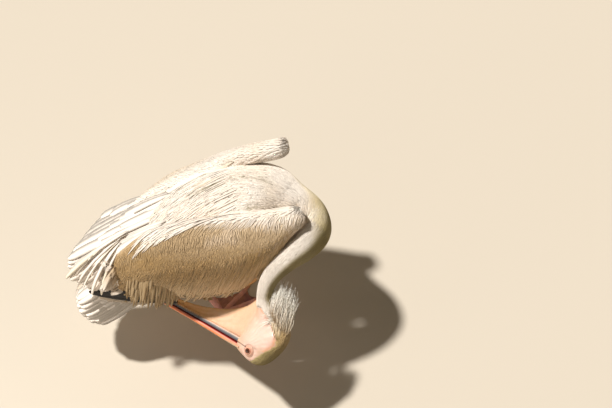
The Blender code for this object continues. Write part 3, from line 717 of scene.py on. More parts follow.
def skin_colour(p):
    """The plumage's own markings, and the bare face and pouch."""
    b, k, s = to_head(p)
    n1, n2, n3 = value_noise(p, .012, 5), value_noise(p, .004, 6), value_noise(p, .0018, 7)
    face = FLESH * (.88 + .20 * n1 + .10 * n2 + .06 * n3)[:, None]
    fan = np.arctan2(k - .060, b - .055)
    stroke = smooth(.55, .9, np.sin(fan * 46 + 5 * value_noise(p, .02, 41)) * .5 + .5) * n1
    low = np.interp(b, [r[0] for r in POUCH], [r[1] for r in POUCH])
    free = np.exp(-np.maximum(k - low, 0) / .010) * smooth(.060, .12, b)
    tip = smooth(.13, .24, b) * .8
    vein = smooth(.62, .80, value_noise(p, .007, 44)) * smooth(.08, .12, b)
    # a pale cheek, faint strokes that fan from behind the gape, and painted olive shade on the brow and towards
    # the crown
    # the pouch yellows towards its tip and along its free edge
    face = washed(face, (
        (PALE_CHEEK, .8 * np.exp(-(((b - .028) / .028) ** 2 + ((k - .006) / .026) ** 2))),
        ((.62, .40, .30), stroke * .30 * smooth(.10, .05, b)),
        ((.50, .38, .22), .75 * smooth(.010, -.016, b) * smooth(.014, .036, k) * (.5 + .7 * n2)),
        ((.58, .45, .30), .6 * smooth(.052, .062, k) * smooth(.03, .05, b)),
        (PALE_CHEEK, smooth(.05, .12, b)),
        (POUCH_YELLOW, np.maximum(free * .95, tip) * (.70 + .5 * n1)),
        ((.78, .44, .30), vein * .18)))
    # dark gape, painted shade in the fold behind it, and a tan rim at the feathers' edge
    gape = np.exp(-((k - gape_line(b)) / .0012) ** 2) * smooth(.011, .018, b) * smooth(.076, .068, b)
    face = face * (1 - .85 * gape * (np.abs(s) > .012))[:, None]
    fold = np.exp(-(((b - .008) / .009) ** 2 + ((k - .032) / .0035) ** 2)) * (np.abs(s) > .01)
    edge = np.interp(k, FACE_K, FACE_B)
    rim = np.exp(-((b - edge - .004) / .0045) ** 2) * (k > -.062) * (k < .030) * (b < .05)
    face = washed(face, (((.30, .20, .13), .55 * fold), ((.80, .42, .20), .65 * rim)))
    for side in (1, -1):
        _, high, r, level, tilted = eye_oval(p, side)
        near = (high > -.006) * (r < .03)
        # painted shade darkens the crease round each eye's lids
        face = washed(face, (
            ((.80, .50, .34), .8 * smooth(.0150, .0120, tilted) * near),
            ((.72, .28, .16), .7 * np.exp(-((level - .0078) / .0009) ** 2) * near),
            ((.30, .17, .10), .75 * np.exp(-((tilted - .0146) / .0012) ** 2) * near * (.5 + .7 * n1)),
            ((.50, .28, .18), .5 * np.exp(-((tilted - .0113) / .0007) ** 2) * near)))
        face = face * (1 - .93 * smooth(.0070, .0062, level) * near)[:, None]
    onto_pouch = smooth(.030, .075, b)[:, None]
    face = face * (np.array((.84, .74, .77)) * (1 - onto_pouch) + np.array((.78, .62, .52)) * onto_pouch)
    bare = bareness(p)[:, None]
    return plumage_colour(p) * (1 - bare) + face * bare


# dirt on the back: middles, in metres along and across the body, and sizes
SMUDGES = (((.010, .031), .018), ((.035, .025), .020), ((.062, .021), .020), ((.091, .006), .014),
           ((.103, -.007), .010), ((.050, -.071), .016), ((.071, -.068), .014))
# where the near wing's white ridge gives way to its side in painted shade: places along and across the body
PAINTED_SHADE_EDGE = ((-.30, -.088), (-.25, -.078), (-.20, -.072), (-.14, -.078), (-.07, -.094), (.0, -.112),
              (.08, -.134), (.14, -.140))


def plumage_colour(p, off_neck=False):
    """The feathers' colour at each point; off_neck says that none of them is on the neck."""
    x, y, z = (p - np.array(SHIFT)).T
    n1, n2 = value_noise(p, .045, 1), value_noise(p, .014, 2)
    i, _ = body_place(p, 6.5, 16.0)
    off = p - LINE_P[i]
    reach = np.linalg.norm(off, axis=1)
    wide = np.interp(LINE_U[i], np.arange(len(BODY)), [row[3] for row in BODY])
    neck = smooth(8.0, 8.7, LINE_U[i]) * smooth(1.50, 1.25, reach / (wide + .006)) * (not off_neck)
    # how far each point faces the neck's shaded side, which gets painted olive shade
    shade_side = off @ np.array((.55, -.70, -.42)) / np.maximum(reach, 1e-4)
    # side: the near wing's side below its white ridge, where the painted shade goes
    edge = np.interp(x, *zip(*PAINTED_SHADE_EDGE))
    side = np.maximum(smooth(.450, .415, z), smooth(edge, edge - .028, y) * .90) * smooth(-.34, -.31, x)
    right = smooth(-.03, -.085, y)
    deep = np.maximum(smooth(.40, .29, z), smooth(-.02, -.15, x))
    # the near wing's side carries painted shade, darker lower down and further back; the far side and belly are
    # stained lower down
    # the breast is yellow, with painted olive shade below it and along the neck's shaded side
    washes = [
        (FLANK_PAINTED_SHADE, side * (.82 + .18 * n1) * right * (1 - neck)),
        (DEEP_PAINTED_SHADE, side * deep * right * (1 - neck) * .55),
        (FAR_STAIN, smooth(.430, .36, z) * (.5 + .4 * n1) * smooth(.09, .13, y)),
        (BELLY_STAIN, smooth(.36, .24, z) * (.35 + .4 * n1) * smooth(-.33, -.24, x) * (1 - neck)),
        (WARM, smooth(.40, .60, n1) * smooth(.43, .46, z) * .35),
        (CREAM, smooth(.07, .11, x) * smooth(.40, .46, z) * smooth(.14, .10, x) * .25),
        (YELLOW, smooth(.185, .225, x) * smooth(.455, .41, z) * (.35 + .6 * n2)),
        (OLIVE_SHADE, smooth(.17, .21, x) * smooth(.430, .385, z) * .95),
        (OLIVE_SHADE, smooth(.12, .62, shade_side) * neck * .92)]
    for (middle_x, middle_y), size in SMUDGES:
        d = np.exp(-(((x - middle_x) / size) ** 2 + ((y - middle_y) / (size * .55)) ** 2))
        washes.append((DIRT, .85 * d * (z > .40) * smooth(.38, .70, value_noise(p, .0055, 9))))
    d = np.exp(-((x / .055) ** 2 + ((y - .078) / .012) ** 2)) * (z > .42)
    washes.append((FAINT_DIRT, .55 * d * smooth(.45, .75, value_noise(p, .006, 19))))
    # olive painted shade over the crown, and an ochre nape
    b, k, s = to_head(p)
    far = np.sqrt(b ** 2 + k ** 2 + s ** 2)
    nape = np.exp(-(((b + .038) / .020) ** 2 + ((k + .020) / .030) ** 2 + (s / .045) ** 2))
    washes += [(OLIVE_SHADE, smooth(.095, .075, far) * smooth(-.030, .010, k) * smooth(-.16, -.07, -far) * .9),
               (BUFF, .9 * nape)]
    return washed(WHITE * (1 + .03 * (n1 - .5) + .04 * (n2 - .5))[:, None], washes)


def nearest_regions(parts, points):
    tree = BVHTree.FromPolygons(parts.verts, parts.faces)
    out = np.zeros(len(points), int)
    for i, p in enumerate(points):
        out[i] = parts.region[tree.find_nearest(p)[2]]
    return out


skin, skin_parts = build_skin()
thin_out(skin, .42)
sculpt_head(skin)
paint(skin.data, skin_colour(coords(skin.data)))
shade_smooth(skin.data)
finish_piece(skin, SKIN, ("trunk", "neck_base", "neck_middle", "neck_upper", "head", "pouch", "thigh_left",
                          "thigh_right"), "plumage_white")
skin.data.calc_loop_triangles()
TRI = np.zeros(len(skin.data.loop_triangles) * 3, int)
skin.data.loop_triangles.foreach_get("vertices", TRI)
TRI = TRI.reshape(-1, 3)
SKIN_P = coords(skin.data)
SKIN_N = np.zeros(len(SKIN_P) * 3)
skin.data.vertices.foreach_get("normal", SKIN_N)
SKIN_N = SKIN_N.reshape(-1, 3)
GUIDE = BVHTree.FromPolygons(SKIN_P.tolist(), TRI.tolist())
TRI_REGION = nearest_regions(skin_parts, SKIN_P[TRI].mean(1))
TRI_AREA = np.linalg.norm(np.cross(SKIN_P[TRI[:, 1]] - SKIN_P[TRI[:, 0]],
                                   SKIN_P[TRI[:, 2]] - SKIN_P[TRI[:, 0]]), axis=1) / 2
CELL, BAND = .003, 4               # the field's cell, and how many cells out from the skin it is known


def skin_field():
    """Signed distance from the skin and its slope, on a grid, known close to the skin."""
    seeds = np.concatenate([SKIN_P, SKIN_P[TRI].mean(1)])
    low = SKIN_P.min(0) - CELL * (BAND + 2)
    size = np.ceil((SKIN_P.max(0) - low) / CELL).astype(int) + BAND + 3
    near = np.zeros(size, bool)
    near[tuple(np.round((seeds - low) / CELL).astype(int).T)] = True
    for axis in range(3):
        near = np.any([np.roll(near, k, axis) for k in range(-BAND, BAND + 1)], axis=0)
    cells = np.argwhere(near)
    dist = np.full(len(cells), np.nan)
    for n, q in enumerate((cells * CELL + low).tolist()):
        place, normal, _, d = GUIDE.find_nearest(q)
        outside = sum((q[i] - place[i]) * normal[i] for i in range(3)) > 0
        dist[n] = d if outside else -d
    field = np.full((*size, 4), np.nan, np.float32)
    field[tuple(cells.T) + (0,)] = dist
    for axis in range(3):
        field[..., axis + 1] = np.gradient(field[..., 0], CELL, axis=axis)
    return field, low


FIELD, FIELD_LOW = skin_field()


def field_at(p):
    """Distance and outward direction at each point; not a number where the skin is far."""
    q = (p - FIELD_LOW) / CELL
    i = np.clip(np.floor(q).astype(int), 0, np.array(FIELD.shape[:3]) - 2)
    total = np.zeros((len(p), 4))
    for dx, dy, dz, weight in corners(q - i):
        total += weight[:, None] * FIELD[i[:, 0] + dx, i[:, 1] + dy, i[:, 2] + dz]
    return total[:, 0], unit(total[:, 1:])


# --------------------------------------------------------------- feather meshes


def feather_mesh(name, centre, normal, half, thick, tint, home, mat, replaced, slot, cup=0.0, rise=None):
    """Closed vanes along rows of points, all joined as one mesh, or a few if there are many.

    centre and normal are (feathers, rows, 3); half (feathers, rows) is half the width;
    home is each root's place on the skin's unwrap. With rise, their height over the skin,
    the vanes' edges follow the skin too.
    """
    n, m = centre.shape[:2]
    most = MAX_TRIANGLES // (6 * (m - 1) + 2)
    if n > most:
        order = np.argsort(home[:, 0], kind="stable")
        for i, part in enumerate(np.array_split(order, -(-n // most))):
            feather_mesh(f"{name}_{i + 1}", centre[part], normal[part], half[part], thick[part], tint[part],
                         home[part], mat, replaced if i == 0 else (), slot, cup,
                         None if rise is None else rise[part])
        return
    way = unit(np.gradient(centre, axis=1))
    side = unit(np.cross(normal, way))
    up = unit(np.cross(way, side))
    verts = np.empty((n, m, 3, 3))
    cup = (half * cup)[..., None] * up
    verts[:, :, 0] = centre + side * half[..., None] - cup
    verts[:, :, 1] = centre + up * thick[..., None]
    verts[:, :, 2] = centre - side * half[..., None] - cup
    if rise is not None:
        for k in (0, 2):
            q = verts[:, :, k].reshape(-1, 3)
            dist, out = field_at(q)
            ok = ((out * normal.reshape(-1, 3)).sum(1) > .5) & (np.abs(dist) < NEAR_SKIN)
            move = np.where(ok, rise.ravel() - np.nan_to_num(dist), 0.0)
            move = np.clip(move, -.004, .004)
            verts[:, :, k] = (q + np.where(ok[:, None], out, 0.0) * move[:, None]).reshape(n, m, 3)
    base = np.arange(n)[:, None, None] * (m * 3)
    quads = []
    for j in range(m - 1):
        a, b = j * 3, j * 3 + 3
        quads += [(a, a + 1, b + 1, b), (a + 1, a + 2, b + 2, b + 1), (a + 2, a, b, b + 2)]
    quads = (np.array(quads)[None] + base).reshape(-1, 4)
    t = (m - 1) * 3
    tris = (np.array([(0, 2, 1), (t, t + 1, t + 2)])[None] + base).reshape(-1, 3)
    me = bpy.data.meshes.new(name)
    me.vertices.add(n * m * 3)
    me.vertices.foreach_set("co", verts.astype(np.float32).ravel())
    loops = np.concatenate([quads.ravel(), tris.ravel()]).astype(np.int32)
    me.loops.add(len(loops))
    me.loops.foreach_set("vertex_index", loops)
    starts = np.concatenate([np.arange(len(quads)) * 4, len(quads) * 4 + np.arange(len(tris)) * 3])
    me.polygons.add(len(starts))
    me.polygons.foreach_set("loop_start", starts.astype(np.int32))
    me.update(calc_edges=True)
    # the underside is flat shaded, so the top's shading stays smooth out to the edges
    top = np.ones(len(starts), bool)
    top[2:len(quads):3] = False
    top[len(quads):] = False
    me.polygons.foreach_set("use_smooth", top)
    across = np.broadcast_to(np.array((0.0, .5, 1.0)), (n, m, 3))
    down = np.broadcast_to(np.linspace(0, 1, m)[None, :, None], (n, m, 3))
    vane = np.stack([across, down], -1)
    for label, uv in ((BAKE_MAP, home[:, None, None, :] + PATCH * (vane - .5)), ("vane", vane)):
        layer = me.uv_layers.new(name=label)
        layer.data.foreach_set("uv", uv.reshape(-1, 2)[loops].astype(np.float32).ravel())
    shade = tint if tint.ndim == 3 else np.repeat(tint[:, None], m, 1)
    paint(me, np.repeat(shade[:, :, None], 3, 2).reshape(-1, 3))
    finish_piece(placed(name, me), mat, replaced, slot)


def scatter(regions, cell, keep):
    """Root points over these regions of the skin, one to each small cell."""
    picked = np.where(np.isin(TRI_REGION, regions))[0]
    area = TRI_AREA[picked]
    count = int(area.sum() / cell ** 2 * 4.0)
    tri = picked[rng.choice(len(picked), count, p=area / area.sum())]
    r1, r2 = np.sqrt(rng.random(count)), rng.random(count)
    w = np.stack([1 - r1, r1 * (1 - r2), r1 * r2], 1)[:, :, None]
    p = (SKIN_P[TRI[tri]] * w).sum(1)
    nrm = unit((SKIN_N[TRI[tri]] * w).sum(1))
    _, first = np.unique(np.floor(p / cell).astype(np.int64), axis=0, return_index=True)
    first = np.sort(first)
    p, nrm, tri = p[first], nrm[first], tri[first]
    if keep is not None:
        ok = keep(p, nrm)
        p, nrm, tri = p[ok], nrm[ok], tri[ok]
    return p, nrm, TRI_REGION[tri]


def march(p, nrm, way, length, profile, root_height, tip_height, curl=0.0):
    """Vane rows laid over the skin from each root, rising from one height over it to the other."""
    n, rows = len(p), len(profile)
    centre, normal, height = np.empty((n, rows, 3)), np.empty((n, rows, 3)), np.empty((n, rows))
    cur, nr = p.copy(), nrm.copy()
    d = unit(way - nr * (way * nr).sum(1, keepdims=True))
    centre[:, 0], normal[:, 0], height[:, 0] = cur + nr * root_height[:, None], nr, root_height
    for j in range(1, rows):
        s = profile[j][0]
        part = s - profile[j - 1][0]
        steps = 1 + int(part * length.max() / .012)
        for _ in range(steps):
            nxt = cur + d * (length * part / steps)[:, None]
            dist, out = field_at(nxt)
            ok = ((out * nr).sum(1) > .55) & (np.abs(dist) < NEAR_SKIN)
            nxt = np.where(ok[:, None], nxt - out * dist[:, None], nxt)
            nr = unit(np.where(ok[:, None], out, nr))
            d = unit(d - nr * (d * nr).sum(1, keepdims=True))
            cur = nxt
        rise = root_height + (tip_height - root_height) * (1 - (1 - s) ** 1.6 + curl * s ** 4)
        centre[:, j] = cur + nr * rise[:, None]
        normal[:, j], height[:, j] = nr, rise
    return centre, normal, height


def shape(half, profile):
    return half[:, None] * np.array([w for _, w in profile])[None]


# outlines: how far along, how wide
POINTED = ((0, .5), (.34, 1.0), (.70, .78), (1, .06))
BODY_VANE = ((0, .5), (.35, 1.0), (.72, .92), (.92, .55), (1, .10))
LANCE = ((0, .5), (.25, .95), (.5, 1.0), (.75, .72), (.92, .32), (1, .05))
LONG = ((0, .45), (.2, .85), (.45, 1.0), (.7, .98), (.85, .82), (.95, .52), (1, .10))
BLUNT = ((0, .40), (.2, .8), (.45, 1.0), (.70, 1.0), (.86, .92), (.95, .70), (.985, .42), (1, .14))
HAIRY = ((0, .6), (.35, 1.0), (.72, .55), (1, .05))
WISP = ((0, .5), (.2, .9), (.4, 1.0), (.6, .8), (.8, .5), (1, .05))


def home_of(p, region):
    """Each root's place on an unwrap round the body's own axis."""
    if region in (R_WING_R, R_WING_L):
        home = np.stack([(p[:, 0] - SHIFT.x + .32) / .54, (p[:, 2] - .20) / .29], 1)
    elif region == R_HEAD:
        b, k, s = to_head(p)
        home = np.stack([(b + .065) / .14, np.arctan2(s, k) / (2 * math.pi) + .5], 1)
    elif region == R_THIGH:
        home = np.stack([(p[:, 2] - .12) / .12, np.clip(p[:, 1] / .20, 0, 1)], 1)
    else:
        i, angle = body_place(p, 0.0, 16.0)
        strips = {R_TRUNK: (0, 7), R_BASE: (6, 10), R_MIDDLE: (9, 12), R_UPPER: (11, 16)}
        low, high = strips.get(region, (0, 16))
        home = np.stack([(LINE_U[i] - low) / (high - low), angle / (2 * math.pi) + .5], 1)
    return home


def homes(p, regions):
    """The same for roots of several regions, each a little off so that no two patches coincide."""
    home = np.zeros((len(p), 2))
    for region in np.unique(regions):
        here = regions == region
        home[here] = home_of(p[here], region)
    home[:, 0] += rng.normal(0, .0015, len(p))
    return np.clip(home, .004, .996)


def body_flow(low, high):
    """Backwards along the neck and trunk, between two places on the centre line."""
    def flow(p, nrm):
        return -LINE_WAY[body_place(p, low, high)[0]]
    return flow


def clear_of_wings(p, nrm):
    """Drop roots that another part of the body presses on."""
    return ~(field_at(p + nrm * .0085)[0] < .0065)


def jitter(way, nrm, amount):
    """Turn each direction a little within the skin."""
    side = np.cross(nrm, way)
    return unit(way + side * rng.normal(0, amount, len(way))[:, None])


def coat(name, regions, cell, length, half, flow, depth, profile=BODY_VANE, spread=.08, keep=None, lift=1.0,
         bed=.72, dim=.025, rough=.03, thick=THIN_FEATHER, colour_row=-2, slot="plumage_white"):
    """Vanes all over some regions of the skin.

    depth is the coat's thickness: roots lie at bed times that over the skin, and tips at lift times it. dim
    and rough are how much tints and tips differ, and colour_row is the row whose place gives the colour.
    """
    rows = len(profile)
    p, nrm, region = scatter(regions, cell, keep)
    ok = clear_of_wings(p, nrm)
    p, nrm, region = p[ok], nrm[ok], region[ok]
    way = jitter(flow(p, nrm), nrm, spread)
    n = len(p)
    size = rng.uniform(.8, 1.2, n)
    over = depth(p) if callable(depth) else np.full(n, depth)
    tip = over * lift * rng.uniform(1 - rough, 1 + rough, n)
    centre, normal, rise = march(p, nrm, way, length * size, profile, over * bed, tip)
    tint = plumage_colour(centre[:, colour_row], regions[0] in OFF_NECK) * (1 + rng.normal(0, dim, n))[:, None]
    tint = tint[:, None] * np.linspace(.98, 1.01, rows)[None, :, None]
    thick = np.full((n, rows), thick) * np.linspace(1.3, .5, rows)
    feather_mesh(name, centre, normal, shape(half * size, profile), thick, np.clip(tint, 0, .95),
                 homes(p, region), PLUMAGE, (), slot, rise=rise)


def depth_on_body(p):
    i, _ = body_place(p, 0.0, 16.0)
    return np.interp(LINE_U[i], DEPTH_AT, DEPTH)


# ------------------------------------------------------------------- body coats

def head_flow(p, nrm):
    b, k, s = to_head(p)
    t = smooth(-.02, -.055, b)[:, None] * smooth(.03, -.02, k)[:, None]
    return unit(-np.array(BILL) * (1 - t) + body_flow(14.0, 16.0)(p, nrm) * t - np.array(CROWN) * .25)


def thigh_flow(p, nrm):
    return np.tile((-.3, 0, -.95), (len(p), 1))


def feathered(p, nrm):
    return bareness(p) < .4


def on_top(p, nrm):
    return nrm[:, 2] > -.2


# each stretch of the body has vanes with silk, narrow strands, over them: region, flow and coats
STRETCHES = (
    ("trunk", R_TRUNK, body_flow(0.0, 7.5), (.0066, .050, .0085, BODY_VANE, .08, None),
     (.0048, .055, .0015, HAIRY, .05, on_top, 1.05, .9, .04), .025),
    ("breast", R_BASE, body_flow(5.5, 10.5), (.0044, .040, .0040, LANCE, .06, None),
     (.0040, .045, .0012, HAIRY, .06, None, 1.07, .9, .06), .03),
    ("neck_middle", R_MIDDLE, body_flow(9.0, 12.5), (.0036, .024, .0032, POINTED, .08, None),
     (.0028, .022, .0009, HAIRY, .10, None, 1.10, .9, .05), .025),
    ("neck_upper", R_UPPER, body_flow(11.0, 16.0), (.0027, .014, .0020, POINTED, .10, feathered),
     (.0023, .014, .0007, HAIRY, .12, feathered, 1.2, .8, .06), .025))
for stretch, region, flow, vanes, silk, dim in STRETCHES:
    coat("coat_" + stretch, (region,), *vanes[:3], flow, depth_on_body, *vanes[3:], dim=dim)
    coat("silk_" + stretch, (region,), *silk[:3], flow, depth_on_body, *silk[3:])
coat("coat_head", (R_HEAD, R_POUCH), .0021, .0085, .0012, head_flow, .0012, POINTED, .14, feathered,
     bed=-.2, dim=.05, thick=.00015)
coat("coat_thighs", (R_THIGH,), .0042, .024, .0050, thigh_flow, .004)


# ------------------------------------------------------------------------ wings

def wing_place(p, rows):
    """For points on a wing: its row, how far down the section, the way down it and its outward side."""
    q = p - np.array(SHIFT)
    last = len(rows) - 1
    u = np.interp(-q[:, 0], [-row[0] for row in rows], np.arange(len(rows)))
    ss = np.linspace(0, 1, 21)
    table = np.array([[np.concatenate([np.array(v) for v in wing_spine(along(rows, at), s)[:3]]) for s in ss]
                      for at in np.linspace(0, last, 81)])
    found = table[np.clip(np.round(u / last * 80).astype(int), 0, 80)]
    best = ((found[:, :, 1:3] - q[:, None, 1:3]) ** 2).sum(2).argmin(1)
    found = found[np.arange(len(q)), best]
    return u, ss[best], found[:, 3:6], found[:, 6:9]


def wing_flow(rows, out, back):
    def flow(p, nrm):
        u, s, down, _ = wing_place(p, rows)
        outer = smooth(-.2, .3, nrm[:, 1] * out)[:, None]
        lean = back + .6 * smooth(7.0, 10.0, u)
        outward = unit(down + np.array((-1.0, 0, 0)) * lean[:, None])
        inward = unit(np.array((-1.0, 0, 0)) + down * .25)
        top = smooth(.10, .0, s)[:, None] * .5
        way = outward * outer + inward * (1 - outer)
        return unit(way * (1 - top) + np.array((-1.0, 0, -.12)) * top)
    return flow


def panel(name, rows, out, region, back, start=.24, end=.62, columns=80, layers=7, half=.0052):
    """Long smooth feathers of the folded wing, in rows from high to low."""
    p, nrm = [], []
    for layer in range(layers):
        high = start + (end - start) * layer / (layers - 1)
        for i in range(columns):
            u = 1.6 + (len(rows) - 2.2) * (i + .5 * (layer % 2) + rng.uniform(-.2, .2)) / columns
            s = high + rng.uniform(-.02, .02)
            centre, _, outward, r = wing_spine(along(rows, min(u, len(rows) - 1.001)), s, .0032)
            outward = outward if outward.y * out > 0 else -outward
            p.append(centre + outward * r + SHIFT)
            nrm.append(outward)
    p, nrm = np.array(p), np.array(nrm)
    n, m = len(p), len(LONG)
    u, _, down, _ = wing_place(p, rows)
    lean = back + .5 * smooth(6.5, 10.0, u)
    way = jitter(unit(down + np.array((-1.0, 0, 0)) * lean[:, None]), nrm, .04)
    low = np.array([along(rows, min(v, len(rows) - 1.001))[3][1] for v in u])
    room = np.maximum(p[:, 2] - low, .02) * 1.12
    extra = .016 * np.exp(-((u - 4.6) / 1.3) ** 2) + .030 * smooth(6.8, 7.8, u)
    far = np.minimum(room + extra, .18) * rng.uniform(.94, 1.03, n) * (1 - .5 * smooth(8.6, 9.8, u))
    tip = np.full(n, .0031) + rng.uniform(-.0002, .0002, n)
    centre, normal, rise = march(p, nrm, way, far, LONG, np.full(n, .0020), tip)
    t = np.linspace(0, 1, m)[None, :, None]
    tint = plumage_colour(p, True) * (1 + rng.normal(0, .04, n))[:, None]
    tint = tint[:, None] * (1 - t) + plumage_colour(centre[:, -1], True)[:, None] * t
    half = np.full(n, half) * rng.uniform(.8, 1.2, n)
    feather_mesh(name, centre, normal, shape(half, LONG), np.full((n, m), FEATHER), np.clip(tint, 0, .95),
                 homes(p, np.full(n, region)), QUILL, (), "wing_covert_white", rise=rise)


def wing_coats(label, rows, out, region, back):
    """One wing's feathers: out is its outer side, 1 or -1, and back how far they lean backwards."""
    panel("panel_" + label, rows, out, region, back)
    flow = wing_flow(rows, out, back)

    def depth(p):
        return wing_depth(wing_place(p, rows)[0])

    def high_up(p, nrm):
        s = wing_place(p, rows)[1]
        return (s < .36 + .08 * value_noise(p, .02, 4)) | (nrm[:, 1] * out < 0)

    def between(low, high, ragged, grain, facing, first=-1.0):
        def keep(p, nrm):
            u, s = wing_place(p, rows)[:2]
            end = high + ragged * value_noise(p, grain, 8)
            return (s > low) & (s < end) & (nrm[:, 1] * out > facing) & (u > first)
        return keep

    def layer(kind, cell, length, half, depth, profile, spread, keep, **looks):
        coat(kind + label, (region,), cell, length, half, flow, depth, profile, spread, keep,
             slot="wing_covert_white", **looks)

    layer("coverts_", .0048, .034, .0042, depth, BODY_VANE, .05, high_up)
    layer("silk_", .0040, .044, .0012, .0034, HAIRY, .05, between(.03, .30, .10, .012, -.1), dim=.04, bed=.9)
    layer("fringe_", .0056, .027, .0015, .0040, LANCE, .08, between(.02, .13, .10, .010, -.4, 1.4), dim=.02,
          rough=.10, bed=.70, colour_row=3)
    layer("streaks_", .0070, .075, .0013, .0036, HAIRY, .03, between(.30, .75, .0, .010, -.1), dim=.14,
          rough=.06, bed=.9)


wing_coats("right", RIGHT_WING, -1, R_WING_R, .40)
wing_coats("left", LEFT_WING, 1, R_WING_L, .48)


# ------------------------------------------------- long feathers set out one by one

def rows_between(roots, tips, ts, start=0.0, end=1.0):
    """Root and tip points at places ts across a fan."""
    a = np.array([along(roots, t * (len(roots) - 1)) for t in ts])
    b = np.array([along(tips, t * (len(tips) - 1)) for t in ts])
    return a + (b - a) * start, a + (b - a) * end


def plume(name, a, b, up, half, profile, bend, tint, mat, sway, thick, replaced, slot, home, cup=.07):
    """Feathers from points a to points b, arched by bend along up and swayed sideways."""
    n, m = len(a), len(profile)
    a, b = a + np.array(SHIFT), b + np.array(SHIFT)
    s = np.array([row[0] for row in profile])[None, :, None]
    run = unit(b - a)
    up = unit(up - run * (up * run).sum(1, keepdims=True))
    side = np.cross(up, run)
    arch = 4 * s * (1 - s)
    bend, sway = (np.broadcast_to(np.asarray(v, float), (n,))[:, None, None] for v in (bend, sway))
    centre = a[:, None] + (b - a)[:, None] * s + up[:, None] * arch * bend
    centre = centre + side[:, None] * arch * sway
    if tint.ndim == 2:
        tint = np.repeat(tint[:, None], m, 1)
    feather_mesh(name, centre, np.repeat(up[:, None], m, 1), shape(half, profile), np.full((n, m), thick),
                 np.clip(tint, 0, .95), home, mat, replaced, slot, cup)


def fan_home(n, rows=1):
    """Places on the unwrap for feathers that stand in rows."""
    i = np.arange(n)
    per = -(-n // rows)
    return np.stack([(i % per + .5) / per, (i // per + .5) / rows], 1) * .98 + .01


def fan_ups(a, b):
    """Outward side of a fan of feathers: up, and away from the next one along."""
    across = unit((b[-1] - b[0])[None])[0]
    run = unit(b - a)
    up = np.cross(run, across)
    up *= np.sign(up[:, 2:3] + 1e-9)
    return up


def rolled(a, b, up, amount):
    """Lay each feather of a fan over its neighbour."""
    return unit(up + np.cross(up, unit(b - a)) * amount)


def tertials(label, rows, layers, replaced):
    """Broad feathers from the wing's hind end over the rump, in layers of (start, end, half, rise, count)."""
    sets = []
    for start, end, half, rise, count in layers:
        ts = (np.arange(count) + .5) / count
        a, b = rows_between(rows[0], rows[1], ts, start, end)
        up = fan_ups(*rows_between(rows[0], rows[1], ts))
        # each feather overlaps the next one along
        step = np.linspace(0, 1, count)[:, None] * .0016
        sets.append((a + up * (rise * .5 + step), b + up * (rise + step), rolled(a, b, up, .07),
                     np.full(count, half)))
    a, b, up, half = (np.concatenate(v) for v in zip(*sets))
    n = len(a)
    tint = WHITE[None] * (1.0 + rng.normal(0, .02, n))[:, None]
    plume("tertials_" + label, a, b + rng.normal(0, .0015, (n, 3)), up, half * rng.uniform(.92, 1.08, n), BLUNT,
          .006, tint, QUILL, rng.normal(0, .0015, n), FEATHER, replaced, "wing_covert_white",
          fan_home(n, len(layers)))


RUMP = ([(-.220, -.045, .420), (-.250, -.058, .404), (-.268, -.062, .392), (-.262, -.072, .384)],
        [(-.428, -.012, .268), (-.444, -.040, .270), (-.416, -.066, .262), (-.380, -.094, .262)])
tertials("right", RUMP, ((.0, .92, .0155, .000, 8), (-.10, .80, .0140, .0022, 8), (-.20, .62, .0120, .0044, 9),
                         (-.30, .40, .0095, .0064, 9)), ("wing_right",))
tertials("left", LEFT_QUILLS, ((.0, 1.0, .0190, .000, 10), (-.22, .84, .0170, .0024, 10),
                               (-.42, .64, .0150, .0048, 11), (-.60, .40, .0125, .0070, 12)), ("wing_left",))


def drooping():
    """The narrow curved feathers that hang in front of the rump, each with a shorter one beside it."""
    a, b, half = (np.array([row[i] for row in TERTIALS]) for i in range(3))
    n = len(a)
    b = np.concatenate([b, b + (b - a) * -.16 + (.006, .002, .004)])
    a = np.concatenate([a, a + (.004, -.002, .004)])
    half = np.concatenate([half, half * .7])
    up = np.tile((-.30, -.45, .84), (2 * n, 1))
    tint = np.tile(WHITE * 1.02, (2 * n, 1))
    tint[::4] = (.86, .77, .64)
    plume("drooping_tertials", a, b, up, half, BLUNT, .020, tint, QUILL, -.004, STRAND, (), "wing_covert_white",
          fan_home(2 * n, 2), .12)


drooping()


def tail_feathers():
    sets = []
    for start, end, half, rise, count in ((-.15, 1.0, .0190, .0, 15), (-.25, .95, .0170, .0018, 14),
                                          (-.5, .55, .0150, .0034, 15), (-.8, .25, .0130, .0050, 15)):
        ts = (np.arange(count) + .5) / count
        a, b = rows_between(TAIL[0], TAIL[1], ts, start, end)
        up = fan_ups(*rows_between(TAIL[0], TAIL[1], ts))
        b = b + rng.normal(0, .0015, b.shape) * (1, 1, .3)
        step = np.linspace(0, 1, count)[:, None] * .0012
        sets.append((a + up * (rise + step), b + up * (rise + step), rolled(a, b, up, .06),
                     half * rng.uniform(.92, 1.08, count), ts))
    a, b, up, half, t = (np.concatenate(v) for v in zip(*sets))
    n = len(a)
    tint = WHITE[None] * (1.02 + rng.normal(0, .02, n))[:, None]
    # the fan's upper feathers are tinted brown as painted shade
    tint = washed(tint, (((.50, .38, .27), smooth(.56, .70, t) * .75),))
    plume("tail_feathers", a, b, up, half, BLUNT, -.002, tint, QUILL, rng.normal(0, .002, n), FEATHER, ("tail",),
          "plumage_white", fan_home(n, 4))


tail_feathers()


